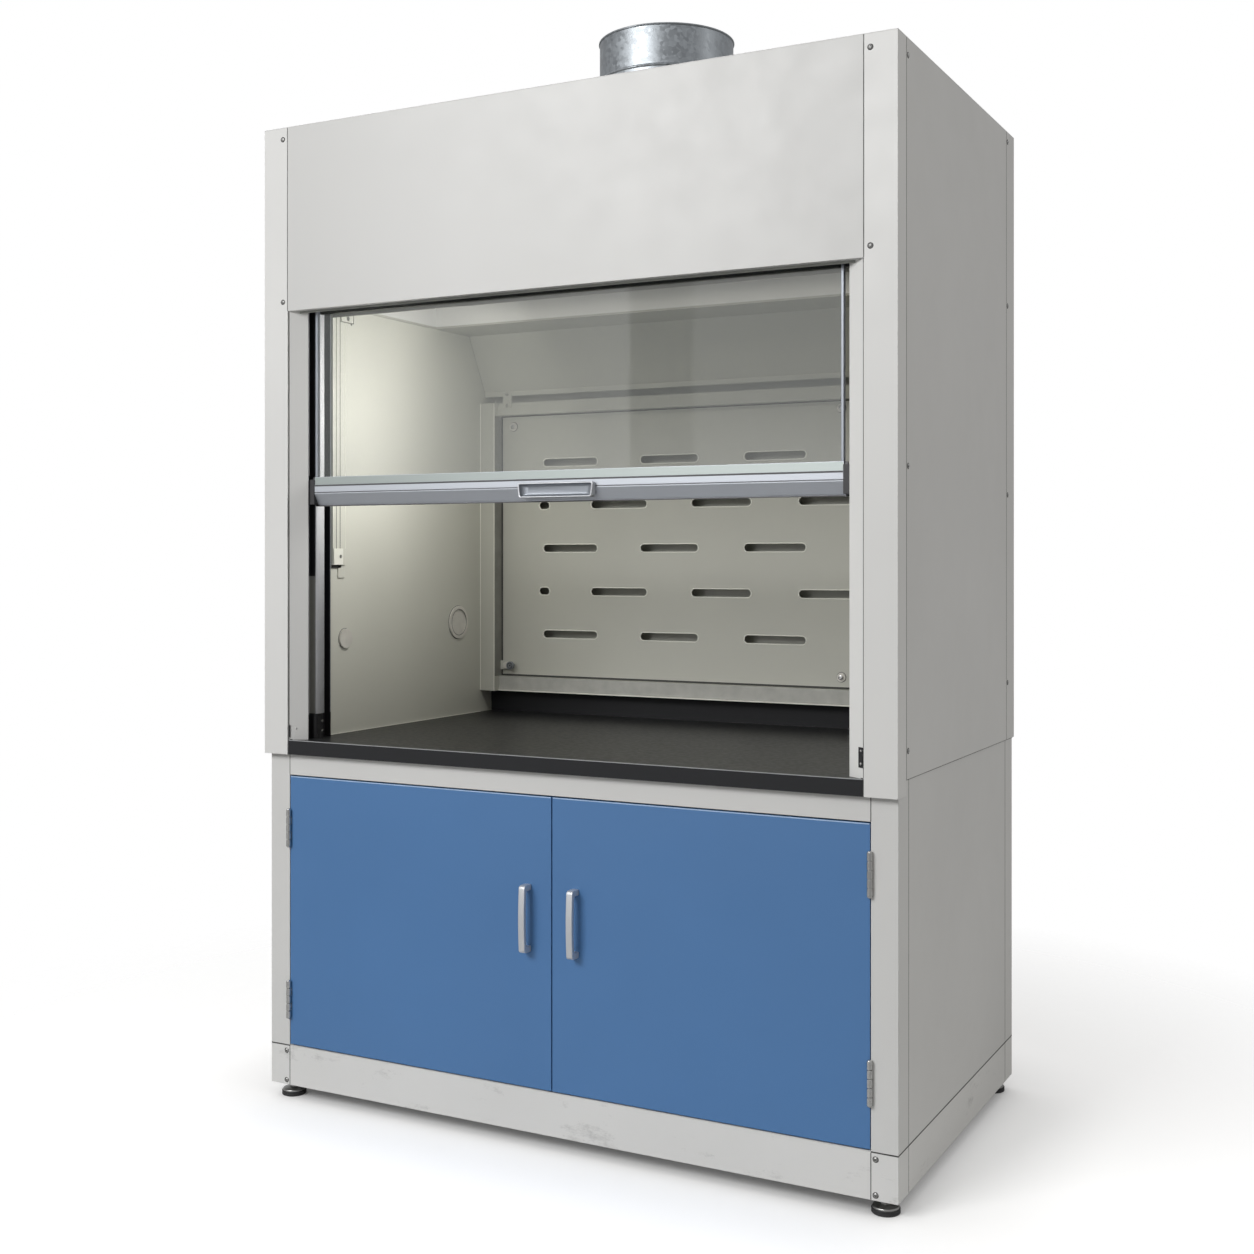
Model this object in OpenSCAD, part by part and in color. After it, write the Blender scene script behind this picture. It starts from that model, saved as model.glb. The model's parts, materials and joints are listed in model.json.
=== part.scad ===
// Chemical fume hood on a two-door base cabinet.
// Millimetres, +Z up, front towards -Y, origin on the floor under the middle of the overall box.

/* [Overall] */
// Width across the hood's side panels
hood_w = 1500; // [1300:10:1800]
// Depth from the front posts' faces to the back
hood_d = 860; // [820:10:1000]
// Height of the worktop's surface above the floor
worktop_z = 820; // [780:5:900]
// Height of the roof above the floor
roof_z = 2209; // [2180:1:2300]

/* [Sheet metal] */
// Thickness of the painted steel sheet
sheet = 1.5; // [1:0.1:2]
// Seam between neighbouring panels
seam = 0.6; // [0.3:0.1:1]
// Gap that keeps separate moving pieces apart
free_gap = 0.5; // [0.3:0.1:1]
// Gap beside a sliding shoe or weight
slide_gap = 0.3; // [0.2:0.05:0.5]
// Radial clearance of a pin or axle in its bore
run_gap = 0.05; // [0.02:0.01:0.1]

/* [Hood posts and fascia] */
// Width of a front post's face
post_face = 66; // [60:1:90]
// Depth of a front post's outer flange
post_side = 51; // [48:1:60]
// Depth of a rear post's outer flange
rear_post_side = 68; // [50:1:90]
// Width of a rear post's back flange
rear_post_back = 62; // [40:1:90]
// Height of the fascia's lower edge
fascia_z = 1792; // [1780:1:1800]
// Depth of the fascia's folded edges
fascia_fold = 18; // [12:1:20]

/* [Sash opening] */
// Distance from a post's inner edge in to the splayed jamb's inner edge
jamb_reach = 37.5; // [30:0.5:45]
// Depth over which the jamb splays
jamb_splay = 25; // [20:1:26]
// Depth of the track's front channel
channel_d = 23.5; // [22:0.5:26]
// Depth of the bull-nosed divider between the channels
divider_d = 31; // [26:1:36]
// Depth of the track's rear channel
rear_channel_d = 22.5; // [20:0.5:26]
// Width of the track in front of its back wall
track_w = 16; // [14:1:20]
// Wall of the track's extrusion
track_wall = 1.5; // [1.2:0.1:2]
// Thickness of the dark liner in each channel
insert_t = 1; // [0.8:0.1:1.5]
// Height of the black foot block under each track
foot_block_h = 56; // [40:1:70]

/* [Sash] */
// Height of the sash rail's lower edge at rest
sash_z = 1350; // [1300:1:1400]
// Height of the sash above its rail's lower edge
sash_h = 740; // [730:1:745]
// Thickness of the sash glass
glass_t = 6; // [4:1:6]
// Height of the rail's slanted lower band
rail_slant_h = 28; // [22:1:34]
// Height of the rail's upright front band
rail_front_h = 16.5; // [12:0.5:22]
// Height of the clip that holds the glass
rail_clip_h = 21.5; // [16:0.5:26]
// Depth of the groove between the rail's two bands
rail_groove = 1.5; // [0.5:0.5:2.5]
// Height of the set-back lip at the rail's lower edge
rail_lip_h = 4; // [2:0.5:6]
// Width of the recessed pull
grip_w = 190; // [140:5:260]
// Height of the recessed pull
grip_h = 32; // [28:1:34]
// How far the pull stands in front of the rail
grip_proud = 12; // [8:1:14]
// Width of a sash stile
stile_w = 12; // [8:1:16]
// Height of the glass of the upper sash
upper_sash_h = 268; // [260:1:275]

/* [Counterbalance] */
// Radius of the pulley at the cable's centre line
pulley_r = 30; // [26:1:30]
// Radius of the sash cable
cable_r = 1.5; // [1:0.1:2]
// Height of the pulley axle below the roof
pulley_drop = 59; // [55:1:62]
// Radius of the pulley axle
axle_r = 6; // [4:0.5:8]
// Thickness of the pulley
pulley_t = 12; // [9:1:14]
// Width of a counterweight
weight_w = 50; // [36:1:50]
// Depth of a counterweight
weight_d = 40; // [30:1:40]
// Height of a counterweight
weight_h = 636; // [600:1:650]

/* [Chamber] */
// Distance between a side panel's outer face and the liner's inner face
liner_inset = 90; // [88:1:100]
// Thickness of the liners
liner_t = 5; // [3:1:8]
// Distance from the front posts' faces to the liners' front edges
liner_front = 125; // [120:1:135]
// Height of the ceiling
ceiling_z = 1820; // [1810:1:1830]
// Distance from the back to the rear liner's front face
rear_liner_inset = 25; // [20:1:30]
// Distance from the rear liner to the baffle panel's front face
baffle_gap = 38; // [35:1:45]
// Thickness of the baffle panel
baffle_t = 3; // [2:0.5:5]
// Width of the baffle frame's corner posts
baffle_post_w = 45; // [36:1:60]
// Depth of the baffle frame's corner posts in front of the panel
baffle_post_d = 35; // [25:1:45]
// Height of the baffle frame's lower edge above the worktop
baffle_lift = 57; // [45:1:70]
// Height of the baffle frame
baffle_h = 770; // [760:1:775]
// Height of the baffle frame's lower rail
baffle_rail_low = 39; // [30:1:50]
// Height of the baffle frame's upper rail
baffle_rail_top = 33; // [25:1:45]

// How far the slanted upper baffle leans forward
upper_lean = 76; // [60:1:90]
// Distance of the upper baffle's foot in front of the baffle panel
upper_foot = 17; // [14:1:22]
// Height of the upper baffle's upright foot
upper_rise = 13; // [8:1:20]
// Height of the exhaust slot between the baffle frame and the upper baffle
top_slot = 18; // [12:1:25]
// Width of the brackets that carry the upper baffle
bracket_w = 28; // [20:1:40]

/* [Panel screws and guides] */
// Distance from the roof to the top screw of each side's front row
front_drop = 33; // [20:1:60]
// Heights of the other front-row screws above the worktop
front_rise = [585, 50];
// Distances from the roof to the upper screws of each side's rear row
rear_drop = [23, 399];
// Heights of the lower rear-row screws above the worktop
rear_rise = [557, 127];
// Height of the weights' guide flange above the worktop
guide_l = 950; // [900:10:1000]
// Distance from the doors' faces to the shelf
shelf_setback = 110; // [80:5:160]

// Height of the seal bar behind the fascia's lower edge
seal_h = 14; // [8:1:20]

/* [Lamp recess] */
// Distance from the liners' front edges back to the recess
lamp_setback = 145; // [120:1:160]
// Depth of the recess
lamp_depth = 278; // [260:1:290]
// Height of the recess above the ceiling
lamp_h = 75; // [60:1:80]
// Length of the diffuser
lens_l = 1150; // [900:10:1180]
// Depth of the diffuser
lens_d = 130; // [90:1:180]

/* [Liner details] */
// Height of the liner trim's lower end above the worktop
trim_low = 396; // [300:1:450]
// Depth of the liner trim
trim_d = 48; // [30:1:60]
// Length of the tab below the liner trim
trim_tab = 30; // [20:1:40]
// Height of the blanking plug above the worktop
plug_rise = 223; // [150:1:300]
// Height of the access cover above the worktop
cover_rise = 244; // [200:1:320]
// Heights of the service sockets above the worktop
socket_rise = [166, 248];

/* [Baffle slots] */
// Length of a long slot
slot_l = 162; // [120:1:180]
// Length of a short slot at a row's end
slot_short = 30; // [25:1:50]
// Height of a slot
slot_h = 19; // [12:1:24]
// Distance from the panel's side edges to the outer slots' middles
slot_side = 179; // [150:1:190]
// Distance from the panel's lower edge to the first row
row_low = 114; // [80:1:130]
// Distance from the panel's upper edge to the last row
row_high = 128; // [80:1:130]
// How far the slot pattern sits to the right of the middle
slot_shift = 32; // [0:1:32]

/* [Worktop] */
// Thickness of the worktop
worktop_t = 33; // [25:1:38]
// Height of the upstand behind the baffle
upstand_h = 62; // [40:1:80]

/* [Exhaust collar] */
// Inner diameter of the collar
collar_d = 315; // [250:5:315]
// Wall of the collar
collar_wall = 1; // [0.8:0.1:2]
// Height of the collar above the roof
collar_h = 243; // [150:1:260]
// Distance of the bead below the rim
bead_drop = 95; // [60:1:110]
// Distance from the hood's back to the collar's axis
collar_back = 305; // [260:1:320]

/* [Base cabinet] */
// How far the base's front lies behind the hood posts' faces
base_setback = 18; // [15:1:24]
// How far the base's sides lie inside the hood's
base_inset = 5; // [2:1:10]
// Width of a base post's face
base_post_face = 53; // [45:1:70]
// Depth of a base post's side flange
base_post_side = 62; // [56:1:80]
// Height of the rail above the doors
top_rail_h = 48; // [40:1:60]
// Height of the plinth's upper edge
plinth_z = 123; // [100:1:140]
// Height of the plinth's lower edge
plinth_low = 32; // [30:1:40]
// Thickness of the cabinet's floor
floor_t = 2; // [1.5:0.1:3]
// Height of the shelf
shelf_z = 430; // [300:5:560]

/* [Doors] */
// Thickness of a door
door_t = 20; // [16:1:24]
// Gap round a door
door_gap = 3; // [2:0.5:4]
// Distance from the middle seam to a handle's centre line
handle_x = 57; // [45:1:80]
// Length of a handle
handle_l = 146; // [110:1:200]
// Width of a handle's bar
handle_w = 14; // [10:1:18]
// How far a handle stands out from its door
handle_reach = 36; // [30:1:45]
// Thickness of a handle's bar
handle_t = 8; // [6:0.5:10]
// Length of a hinge
hinge_l = 92; // [70:1:120]
// Distance from a door's end to the hinge's centre
hinge_end = 110; // [80:1:150]
// Radius of a hinge's barrel
barrel_r = 5.5; // [4.5:0.1:6]
// Radius of a hinge's pin
pin_r = 2.5; // [2:0.1:3]
// Thickness of a hinge's leaf
leaf_t = 1.2; // [1:0.1:1.5]
// Width of a hinge's leaf
leaf_w = 9; // [6:1:14]

/* [Levelling feet] */
// Radius of a foot's disc
foot_r = 27.5; // [20:0.5:30]
// Distance of a foot's axis from the base's sides
foot_inset = 36; // [32:1:45]
// Radius of a foot's stem
stem_r = 5; // [4:0.5:6]

/* [Hidden] */
$fn = 48;

// Front plane, chosen so that the overall box is centred on the origin in depth
overhang = max(0, handle_reach - base_setback);
y_front = -hood_d / 2 + overhang / 2;

// Hood planes across the width
half_w = hood_w / 2;
post_in = half_w - post_face;
jamb_in = post_in - jamb_reach;
track_back = jamb_in + track_w;
liner_x = half_w - liner_inset;

// Hood planes in depth, measured back from the front posts' faces
track_front = base_setback + 10;
front_in = track_front + track_wall;
divider_front = front_in + channel_d;
divider_back = divider_front + divider_d;
rear_out = divider_back + rear_channel_d;
track_end = rear_out + track_wall;
rear_liner_front = hood_d - rear_liner_inset;
baffle_front = rear_liner_front - baffle_gap;
ceiling_back = baffle_front - upper_lean - upper_foot;
side_end = hood_d - rear_post_side;
collar_y = hood_d - collar_back;

// Hood heights
base_top = worktop_z - worktop_t;
joint_z = worktop_z - 3;
roof_under = roof_z - sheet;
pulley_z = roof_z - pulley_drop;
track_low = worktop_z + foot_block_h;
track_top = roof_z - 89;
baffle_low = worktop_z + baffle_lift;
baffle_top = baffle_low + baffle_h;
panel_low = baffle_low + baffle_rail_low + 1;
panel_top = baffle_top - baffle_rail_top - 1;

// Sash
sash_half = jamb_in - 14;
sash_face = track_front + 4;
glass_front = sash_face + 5;
rail_h = rail_slant_h + rail_front_h;
rail_back = sash_face + 22;
slant = 16;
sash_top = sash_z + sash_h;
shoe_reach = jamb_in + 4;
upper_glass_front = divider_back + 8;
upper_low = fascia_z + 20;

// Counterbalance
cable_d = front_in + channel_d / 2;
cable_x = track_back - 7;
pulley_x = cable_x + pulley_r;
weight_x = pulley_x + pulley_r;
weight_top = sash_z + 234;
groove_r = pulley_r - cable_r - 0.3;

// Base cabinet
base_x = half_w - base_inset;
base_post_in = base_x - base_post_face;
base_back = hood_d;
door_low = plinth_z + door_gap;
door_top = base_top - top_rail_h - door_gap;
door_edge = base_post_in - 2;
hinge_x = base_post_in - 1;
hinge_d = base_setback - barrel_r;
handle_z = door_low + 355;
foot_d = [base_setback + foot_inset, hood_d - foot_inset];
foot_x = base_x - foot_inset;

// Paint and finish colours
paint = [0.84, 0.84, 0.83];
inside = [0.86, 0.85, 0.80];
steel = [0.72, 0.74, 0.76];
silver = [0.78, 0.80, 0.83];
blue = [0.30, 0.48, 0.68];
black = [0.10, 0.10, 0.11];

// A block between two widths, two depths behind the front posts' faces and two heights
module block(x, d, z) {
    translate([x[0], y_front + d[0], z[0]]) cube([x[1] - x[0], d[1] - d[0], z[1] - z[0]]);
}

// An outline in width and depth, raised between two heights
module upright(z) {
    translate([0, y_front, z[0]]) linear_extrude(z[1] - z[0]) children();
}

// An outline in depth and height, drawn out between two widths
module across(x) {
    translate([x[0], y_front, 0]) rotate([90, 0, 90]) linear_extrude(x[1] - x[0]) children();
}

// A rod or hole along the depth
module rod_y(x, d, z, r) {
    translate([x, y_front + d[0], z]) rotate([-90, 0, 0]) cylinder(h = d[1] - d[0], r = r);
}

// A rod or hole along the width
module rod_x(x, d, z, r) {
    translate([x[0], y_front + d, z]) rotate([0, 90, 0]) cylinder(h = x[1] - x[0], r = r);
}

// An upright rod or hole
module rod_z(x, d, z, r) {
    translate([x, y_front + d, z[0]]) cylinder(h = z[1] - z[0], r = r);
}

module both_sides() {
    children();
    mirror([1, 0, 0]) children();
}

// Corner post of the hood: face, outer flange and a short inner return
module front_post() {
    screw_z = [roof_z - 27, fascia_z + 21];
    difference() {
        union() {
            block([post_in, half_w], [0, sheet], [base_top, roof_under]);
            block([half_w - sheet, half_w], [0, post_side], [base_top, roof_under]);
            block([post_in, post_in + sheet], [0, base_setback - 1], [base_top, roof_under]);
        }
        for (z = screw_z) rod_y(post_in + 13, [-1, sheet + 1], z, 2.6);
    }
}

module left_front_post() color(paint) mirror([1, 0, 0]) front_post();
module right_front_post() color(paint) front_post();

// Splayed strips beside the sash, each with a flange out to the track
module jamb_panels() color(paint) both_sides() {
    near = track_front - jamb_splay;
    upright([worktop_z, fascia_z]) polygon([
        [post_in - 1.2, near], [post_in - 1.2, base_setback + 12], [post_in - 2.7, base_setback + 12],
        [post_in - 2.7, near + 2.2], [jamb_in + 2.2, track_front - sheet],
        [track_back, track_front - sheet], [track_back, track_front],
        [jamb_in, track_front], [jamb_in, track_front - 1.2]]);
}

// Front panel above the opening, folded back along all four edges
module fascia_panel() color(paint) {
    x = post_in - seam;
    difference() {
        block([-x, x], [0, fascia_fold], [fascia_z, roof_under]);
        block([-x + sheet, x - sheet], [sheet, fascia_fold + 1], [fascia_z + sheet, roof_under - sheet]);
    }
}

// Upper side panel with a folded rear flange and a front one that guides the counterweight
module side_panel() {
    d = [post_side + seam, side_end - seam];
    block([half_w - sheet, half_w], d, [joint_z, roof_under]);
    block([half_w - 22, half_w - sheet], [d[1] - sheet, d[1]], [worktop_z + 1, roof_under]);
    block([weight_x + weight_w / 2 + slide_gap, half_w - sheet], [d[0], d[0] + sheet],
        [worktop_z + 1, worktop_z + guide_l]);
}

module left_side_panel() color(paint) difference() {
    mirror([1, 0, 0]) side_panel();
    mirror([1, 0, 0]) side_screw_holes();
}

module right_side_panel() color(paint) difference() {
    side_panel();
    side_screw_holes();
}

// Heights of the side screws, front row and rear row
front_row_z = [roof_z - front_drop, worktop_z + front_rise[0], worktop_z + front_rise[1]];
rear_row_z = [roof_z - rear_drop[0], roof_z - rear_drop[1], worktop_z + rear_rise[0], worktop_z + rear_rise[1]];
front_row_d = post_side + 10;
rear_row_d = side_end + 9;

module side_screw_holes() {
    for (z = front_row_z) rod_x([half_w - sheet - 1, half_w + 1], front_row_d, z, 2.6);
}

module hood_rear_posts() color(paint) both_sides() difference() {
    union() {
        block([half_w - sheet, half_w], [side_end, hood_d], [joint_z, roof_under]);
        block([half_w - rear_post_back, half_w], [hood_d - sheet, hood_d], [joint_z, roof_under]);
    }
    for (z = rear_row_z) rod_x([half_w - sheet - 1, half_w + 1], rear_row_d, z, 2.6);
}

module hood_back_panel() color(paint) {
    x = half_w - rear_post_back - seam;
    block([-x, x], [hood_d - sheet, hood_d], [joint_z, roof_under]);
}

module collar_axis(z, r) {
    rod_z(0, collar_y, z, r);
}

module roof_panel() color(paint) difference() {
    block([-half_w, half_w], [0, hood_d], [roof_under, roof_z]);
    collar_axis([roof_under - 1, roof_z + 1], collar_d / 2 + collar_wall + free_gap);
}

// Rolled sheet collar with a rim, a bead and a flange under the roof
module exhaust_collar() color(steel) translate([0, y_front + collar_y, 0]) {
    r = collar_d / 2;
    top = roof_z + collar_h;
    difference() {
        union() {
            translate([0, 0, roof_under - sheet]) cylinder(h = top - roof_under + sheet, r = r + collar_wall, $fn = 96);
            translate([0, 0, roof_under - sheet]) cylinder(h = sheet, r = r + 26, $fn = 96);
            rotate_extrude($fn = 96) translate([r + collar_wall, top - 2.5]) circle(r = 2.5, $fn = 20);
            rotate_extrude($fn = 96) translate([r + collar_wall - 1, top - bead_drop]) circle(r = 3.5, $fn = 20);
        }
        translate([0, 0, roof_under - sheet - 1]) cylinder(h = top - roof_under + sheet + 2, r = r, $fn = 96);
    }
}

// Box above the ceiling that gathers the air for the collar
module exhaust_plenum() color(steel) {
    x = liner_x;
    d = [collar_y - collar_d / 2 - 40, rear_liner_front];
    z = [ceiling_z + liner_t, roof_under - sheet];
    block([-x, x], [d[0], d[0] + sheet], [lamp_top, z[1]]);
    both_sides() block([x - sheet, x], [d[0] + sheet, d[1]], [lamp_top, z[1]]);
    both_sides() block([x - sheet, x], [lamp_d[1] + sheet + 1, d[1]], [z[0], lamp_top]);
    difference() {
        block([-x + sheet, x - sheet], [d[0] + sheet, d[1]], [z[1] - sheet, z[1]]);
        collar_axis([z[1] - sheet - 1, z[1] + 1], collar_d / 2);
    }
}

module liner() {
    block([liner_x, liner_x + liner_t], [liner_front, rear_liner_front + liner_t], [worktop_z, roof_under - sheet]);
}

plug_d = liner_front + 52;
plug_z = worktop_z + plug_rise;
cover_d = liner_front + 528;
cover_z = worktop_z + cover_rise;
socket_d = liner_front + 33;
socket_z = [worktop_z + socket_rise[0], worktop_z + socket_rise[1]];

module left_liner() color(inside) difference() {
    mirror([1, 0, 0]) liner();
    rod_x([-liner_x - liner_t - 1, -liner_x + 1], plug_d, plug_z, 18);
    rod_x([-liner_x - liner_t - 1, -liner_x + 1], cover_d, cover_z, 34);
}

module right_liner() color(inside) difference() {
    liner();
    for (z = socket_z) rod_x([liner_x - 1, liner_x + liner_t + 1], socket_d, z, 14);
}

module rear_liner() color(inside)
    block([-liner_x, liner_x], [rear_liner_front, rear_liner_front + liner_t], [worktop_z, roof_under - sheet]);

lamp_d = [liner_front + lamp_setback, liner_front + lamp_setback + lamp_depth];
lamp_half = liner_x - 2 - sheet;
lamp_top = ceiling_z + liner_t + lamp_h;

module ceiling_panel() color(inside) difference() {
    union() {
        block([-liner_x, liner_x], [liner_front, ceiling_back], [ceiling_z, ceiling_z + liner_t]);
        block([-liner_x, liner_x], [liner_front, liner_front + 3], [ceiling_z, lamp_top]);
        block([-liner_x + 6, liner_x - 6], [liner_front, liner_front + 3], [fascia_z, ceiling_z + 1]);
    }
    block([-lamp_half, lamp_half], lamp_d, [ceiling_z - 1, ceiling_z + liner_t + 1]);
}

// Long slot with round ends, centred at x and z
module slot(x, z, length) {
    c = length / 2 - slot_h / 2;
    for (s = [-c, c]) rod_y(x + s, [baffle_front - 1, baffle_front + baffle_t + 1], z, slot_h / 2);
    block([x - c, x + c], [baffle_front - 1, baffle_front + baffle_t + 1], [z - slot_h / 2, z + slot_h / 2]);
}

fixing_x = liner_x - 83;
fixing_high = panel_top - 29;
fixing_low = panel_low + 28;

panel_half = liner_x - baffle_post_w - 1;
slot_pitch = (2 * panel_half - 2 * slot_side) / 3;
row_pitch = (panel_top - panel_low - row_low - row_high) / 4;

module baffle_panel() color(inside) difference() {
    x = panel_half;
    block([-x, x], [baffle_front, baffle_front + baffle_t], [panel_low, panel_top]);
    for (row = [0:4]) {
        z = panel_low + row_low + row * row_pitch;
        for (k = row % 2 == 0 ? [-1.5:1:1.5] : [-1:1:1]) slot(slot_shift + k * slot_pitch, z, slot_l);
        if (row % 2 == 1) for (s = [-1, 1]) slot(slot_shift + s * 1.77 * slot_pitch, z, slot_short);
    }
    rod_y(-fixing_x, [baffle_front - 1, baffle_front + baffle_t + 1], fixing_low, axle_r / 2 + run_gap);
}

// Slanted panel from the baffle frame up to the ceiling
module upper_baffle() color(inside) {
    foot = [baffle_front - upper_foot, baffle_top + top_slot + upper_rise];
    across([-liner_x + 2, liner_x - 2]) polygon([
        foot, [ceiling_back, ceiling_z], [ceiling_back + 3.3, ceiling_z], [foot[0] + 3.3, foot[1]]]);
    across([-liner_x + 2, liner_x - 2]) polygon([
        [foot[0], baffle_top + top_slot], [foot[0] + 3.3, baffle_top + top_slot], [foot[0] + 3.3, foot[1]], foot]);
}

bracket_x = liner_x - baffle_post_w - bracket_w;
bracket_front = baffle_front - upper_foot - sheet;

// Corner posts with an upper and a lower rail that the panel is fixed against
module baffle_frame() color(inside) {
    x = liner_x - baffle_post_w;
    back = baffle_front + baffle_t;
    both_sides() difference() {
        block([x, liner_x], [baffle_front - baffle_post_d - 2, back], [baffle_low, baffle_top]);
        block([x + 2, liner_x + 1], [baffle_front - baffle_post_d, back + 1], [baffle_low + 2, baffle_top - 2]);
    }
    block([-x, x], [baffle_front - 12, back], [baffle_low, panel_low - 1]);
    block([-x, x], [baffle_front - 20, baffle_front - 12], [baffle_low, baffle_low + 3]);
    block([-x, x], [baffle_front - upper_foot, back], [panel_top + 1, baffle_top]);
    both_sides() block([bracket_x - bracket_w / 2, bracket_x + bracket_w / 2], [bracket_front, bracket_front + sheet],
        [baffle_top - 12, baffle_top + top_slot + 10]);
    for (z = [[panel_low - 16, panel_low + 14], [panel_top - 14, panel_top + 16]])
        block([-x - 2, x + 2], [back, back + 2], z);
    block([-x, -x + 16], [baffle_front - 6.5, baffle_front - 5], [fixing_low - 12, fixing_low + 12]);
    both_sides() block([x, liner_x], [back, rear_liner_front], [baffle_top - 40, baffle_top - 37]);
}

// Round washered screws that hold the baffle panel
module baffle_fixings() color("white") {
    places = [[-fixing_x, fixing_high], [slot_shift + 318, fixing_high + 10], [slot_shift + 318, fixing_low],
        [fixing_x, fixing_high], [fixing_x, fixing_low]];
    for (p = places) {
        rod_y(p[0], [baffle_front - 3, baffle_front], p[1], 11);
        rod_y(p[0], [baffle_front - 6, baffle_front - 3], p[1], 6);
    }
    both_sides() for (z = [baffle_top - 6, baffle_top + top_slot + 4])
        rod_y(bracket_x, [bracket_front - 2.5, bracket_front], z, 4);
}

// Quarter-turn catch that locks the panel behind a tab on the left post
module baffle_latch() color("silver") {
    rod_y(-fixing_x, [baffle_front - 22, baffle_front + baffle_t + 4], fixing_low, axle_r / 2);
    rod_y(-fixing_x, [baffle_front - 4.5, baffle_front - 0.5], fixing_low, 10);
    rod_y(-fixing_x, [baffle_front - 22, baffle_front - 14], fixing_low, 11);
    block([-fixing_x - 26, -fixing_x], [baffle_front - 4.5, baffle_front - 0.5], [fixing_low - 6, fixing_low + 6]);
}

// Worktop that reaches forward between the posts, with a bevelled front edge and a rear upstand
module worktop() color(black) {
    front_half = post_in - seam;
    wide_half = base_x - sheet - seam;
    difference() {
        upright([base_top, worktop_z]) polygon([
            [-front_half, 2], [front_half, 2], [front_half, post_side + seam], [wide_half, post_side + seam],
            [wide_half, hood_d - 4], [-wide_half, hood_d - 4], [-wide_half, post_side + seam],
            [-front_half, post_side + seam]]);
        across([-front_half - 1, front_half + 1])
            polygon([[1, worktop_z - 2.5], [1, worktop_z + 1], [4.5, worktop_z + 1]]);
    }
    block([-liner_x, liner_x], [rear_liner_front - 20, rear_liner_front], [worktop_z, worktop_z + upstand_h]);
}

// Section of the sash track: two channels with a bull-nosed divider between them
module track_section() {
    translate([track_back, track_front]) square([track_wall * 2, liner_front - track_front]);
    translate([jamb_in, track_front]) square([track_w, track_wall]);
    translate([jamb_in, rear_out]) square([track_w, track_wall]);
    translate([jamb_in + 8, divider_front]) square([track_w - 8, divider_d]);
    for (d = [divider_front + 8, divider_back - 8]) translate([jamb_in + 8, d]) circle(r = 8);
    translate([jamb_in, divider_front + 8]) square([8, divider_d - 16]);
}

module sash_tracks() color(silver) both_sides() upright([track_low, track_top]) track_section();

// Dark channel liners, and the foot blocks that the tracks stand on
module track_inserts() color(black) both_sides() {
    for (d = [front_in, divider_back]) {
        depth = d == front_in ? channel_d : rear_channel_d;
        upright([track_low, track_top]) difference() {
            translate([jamb_in + 1, d]) square([track_w - 1, depth]);
            translate([jamb_in, d + insert_t]) square([track_w - insert_t, depth - 2 * insert_t]);
        }
    }
    upright([worktop_z, track_low]) track_section();
    seal_half();
}

// Half of the bar that closes the gap between the two panes at the fascia's lower edge
module seal_half() block([0, jamb_in], [divider_front + 9, divider_back - 9], [fascia_z - 2, fascia_z + seal_h]);

// Cover strip on the liner's front edge, with tabs at its ends
module liner_trims() color(inside) both_sides() {
    block([liner_x - 6, liner_x], [liner_front, liner_front + trim_d], [worktop_z + trim_low, ceiling_z]);
    block([liner_x - 3, liner_x], [liner_front + trim_d / 2, liner_front + trim_d],
        [worktop_z + trim_low - trim_tab, worktop_z + trim_low]);
    block([liner_x - 9, liner_x - 6], [liner_front + 0.6 * trim_d, liner_front + trim_d + 27], [ceiling_z - 34, ceiling_z]);
}

module liner_fittings() color("gainsboro") {
    rod_x([-liner_x, -liner_x + 5], plug_d, plug_z, 23);
    rod_x([-liner_x - 4, -liner_x], plug_d, plug_z, 17.8);
    difference() {
        rod_x([-liner_x, -liner_x + 4], cover_d, cover_z, 42.5);
        rod_x([-liner_x + 2, -liner_x + 5], cover_d, cover_z, 34);
    }
    for (z = socket_z) {
        block([liner_x - 4, liner_x], [socket_d - 30, socket_d + 30], [z - 34, z + 34]);
        difference() {
            rod_x([liner_x - 20, liner_x - 4], socket_d, z, 24);
            rod_x([liner_x - 21, liner_x - 8], socket_d, z, 19);
        }
    }
}

// Folded tray over the recess, open below
module lamp_housing() color("white") difference() {
    block([-lamp_half - sheet, lamp_half + sheet], [lamp_d[0] - sheet, lamp_d[1] + sheet],
        [ceiling_z + liner_t, lamp_top]);
    block([-lamp_half, lamp_half], lamp_d, [ceiling_z + liner_t - 1, lamp_top - sheet]);
}

// Diffuser with rounded sides, fixed under the tray's top
module lamp_lens() color("ivory") {
    middle = lamp_d[0] + lamp_setback;
    top = lamp_top - sheet;
    across([-lens_l / 2, lens_l / 2]) polygon([[middle - lens_d / 2, top], [middle - lens_d / 2 + 6, top - 20],
        [middle - lens_d / 2 + 18, top - 28], [middle + lens_d / 2 - 18, top - 28],
        [middle + lens_d / 2 - 6, top - 20], [middle + lens_d / 2, top]]);
}

// Plate behind each pulley, with the axle that the pulley turns on
module pulley_brackets() color(steel) both_sides() {
    plate = [post_side + 3, post_side + 6];
    block([pulley_x - 22, half_w - sheet], plate, [pulley_z - 22, roof_under]);
    rod_y(pulley_x, [cable_d - pulley_t / 2 - 6, plate[0]], pulley_z, axle_r);
    rod_y(pulley_x, [cable_d - pulley_t / 2 - 6, cable_d - pulley_t / 2 - 2], pulley_z, axle_r + 3);
}

module pulley() {
    translate([pulley_x, y_front + cable_d, pulley_z]) rotate([90, 0, 0]) rotate_extrude($fn = 64)
        polygon([[axle_r + run_gap, -pulley_t / 2], [pulley_r + 3, -pulley_t / 2], [pulley_r + 3, -pulley_t / 3],
            [groove_r, -cable_r], [groove_r, cable_r], [pulley_r + 3, pulley_t / 3],
            [pulley_r + 3, pulley_t / 2], [axle_r + run_gap, pulley_t / 2]]);
}

module left_pulley() color("dimgray") mirror([1, 0, 0]) pulley();
module right_pulley() color("dimgray") pulley();

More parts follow.
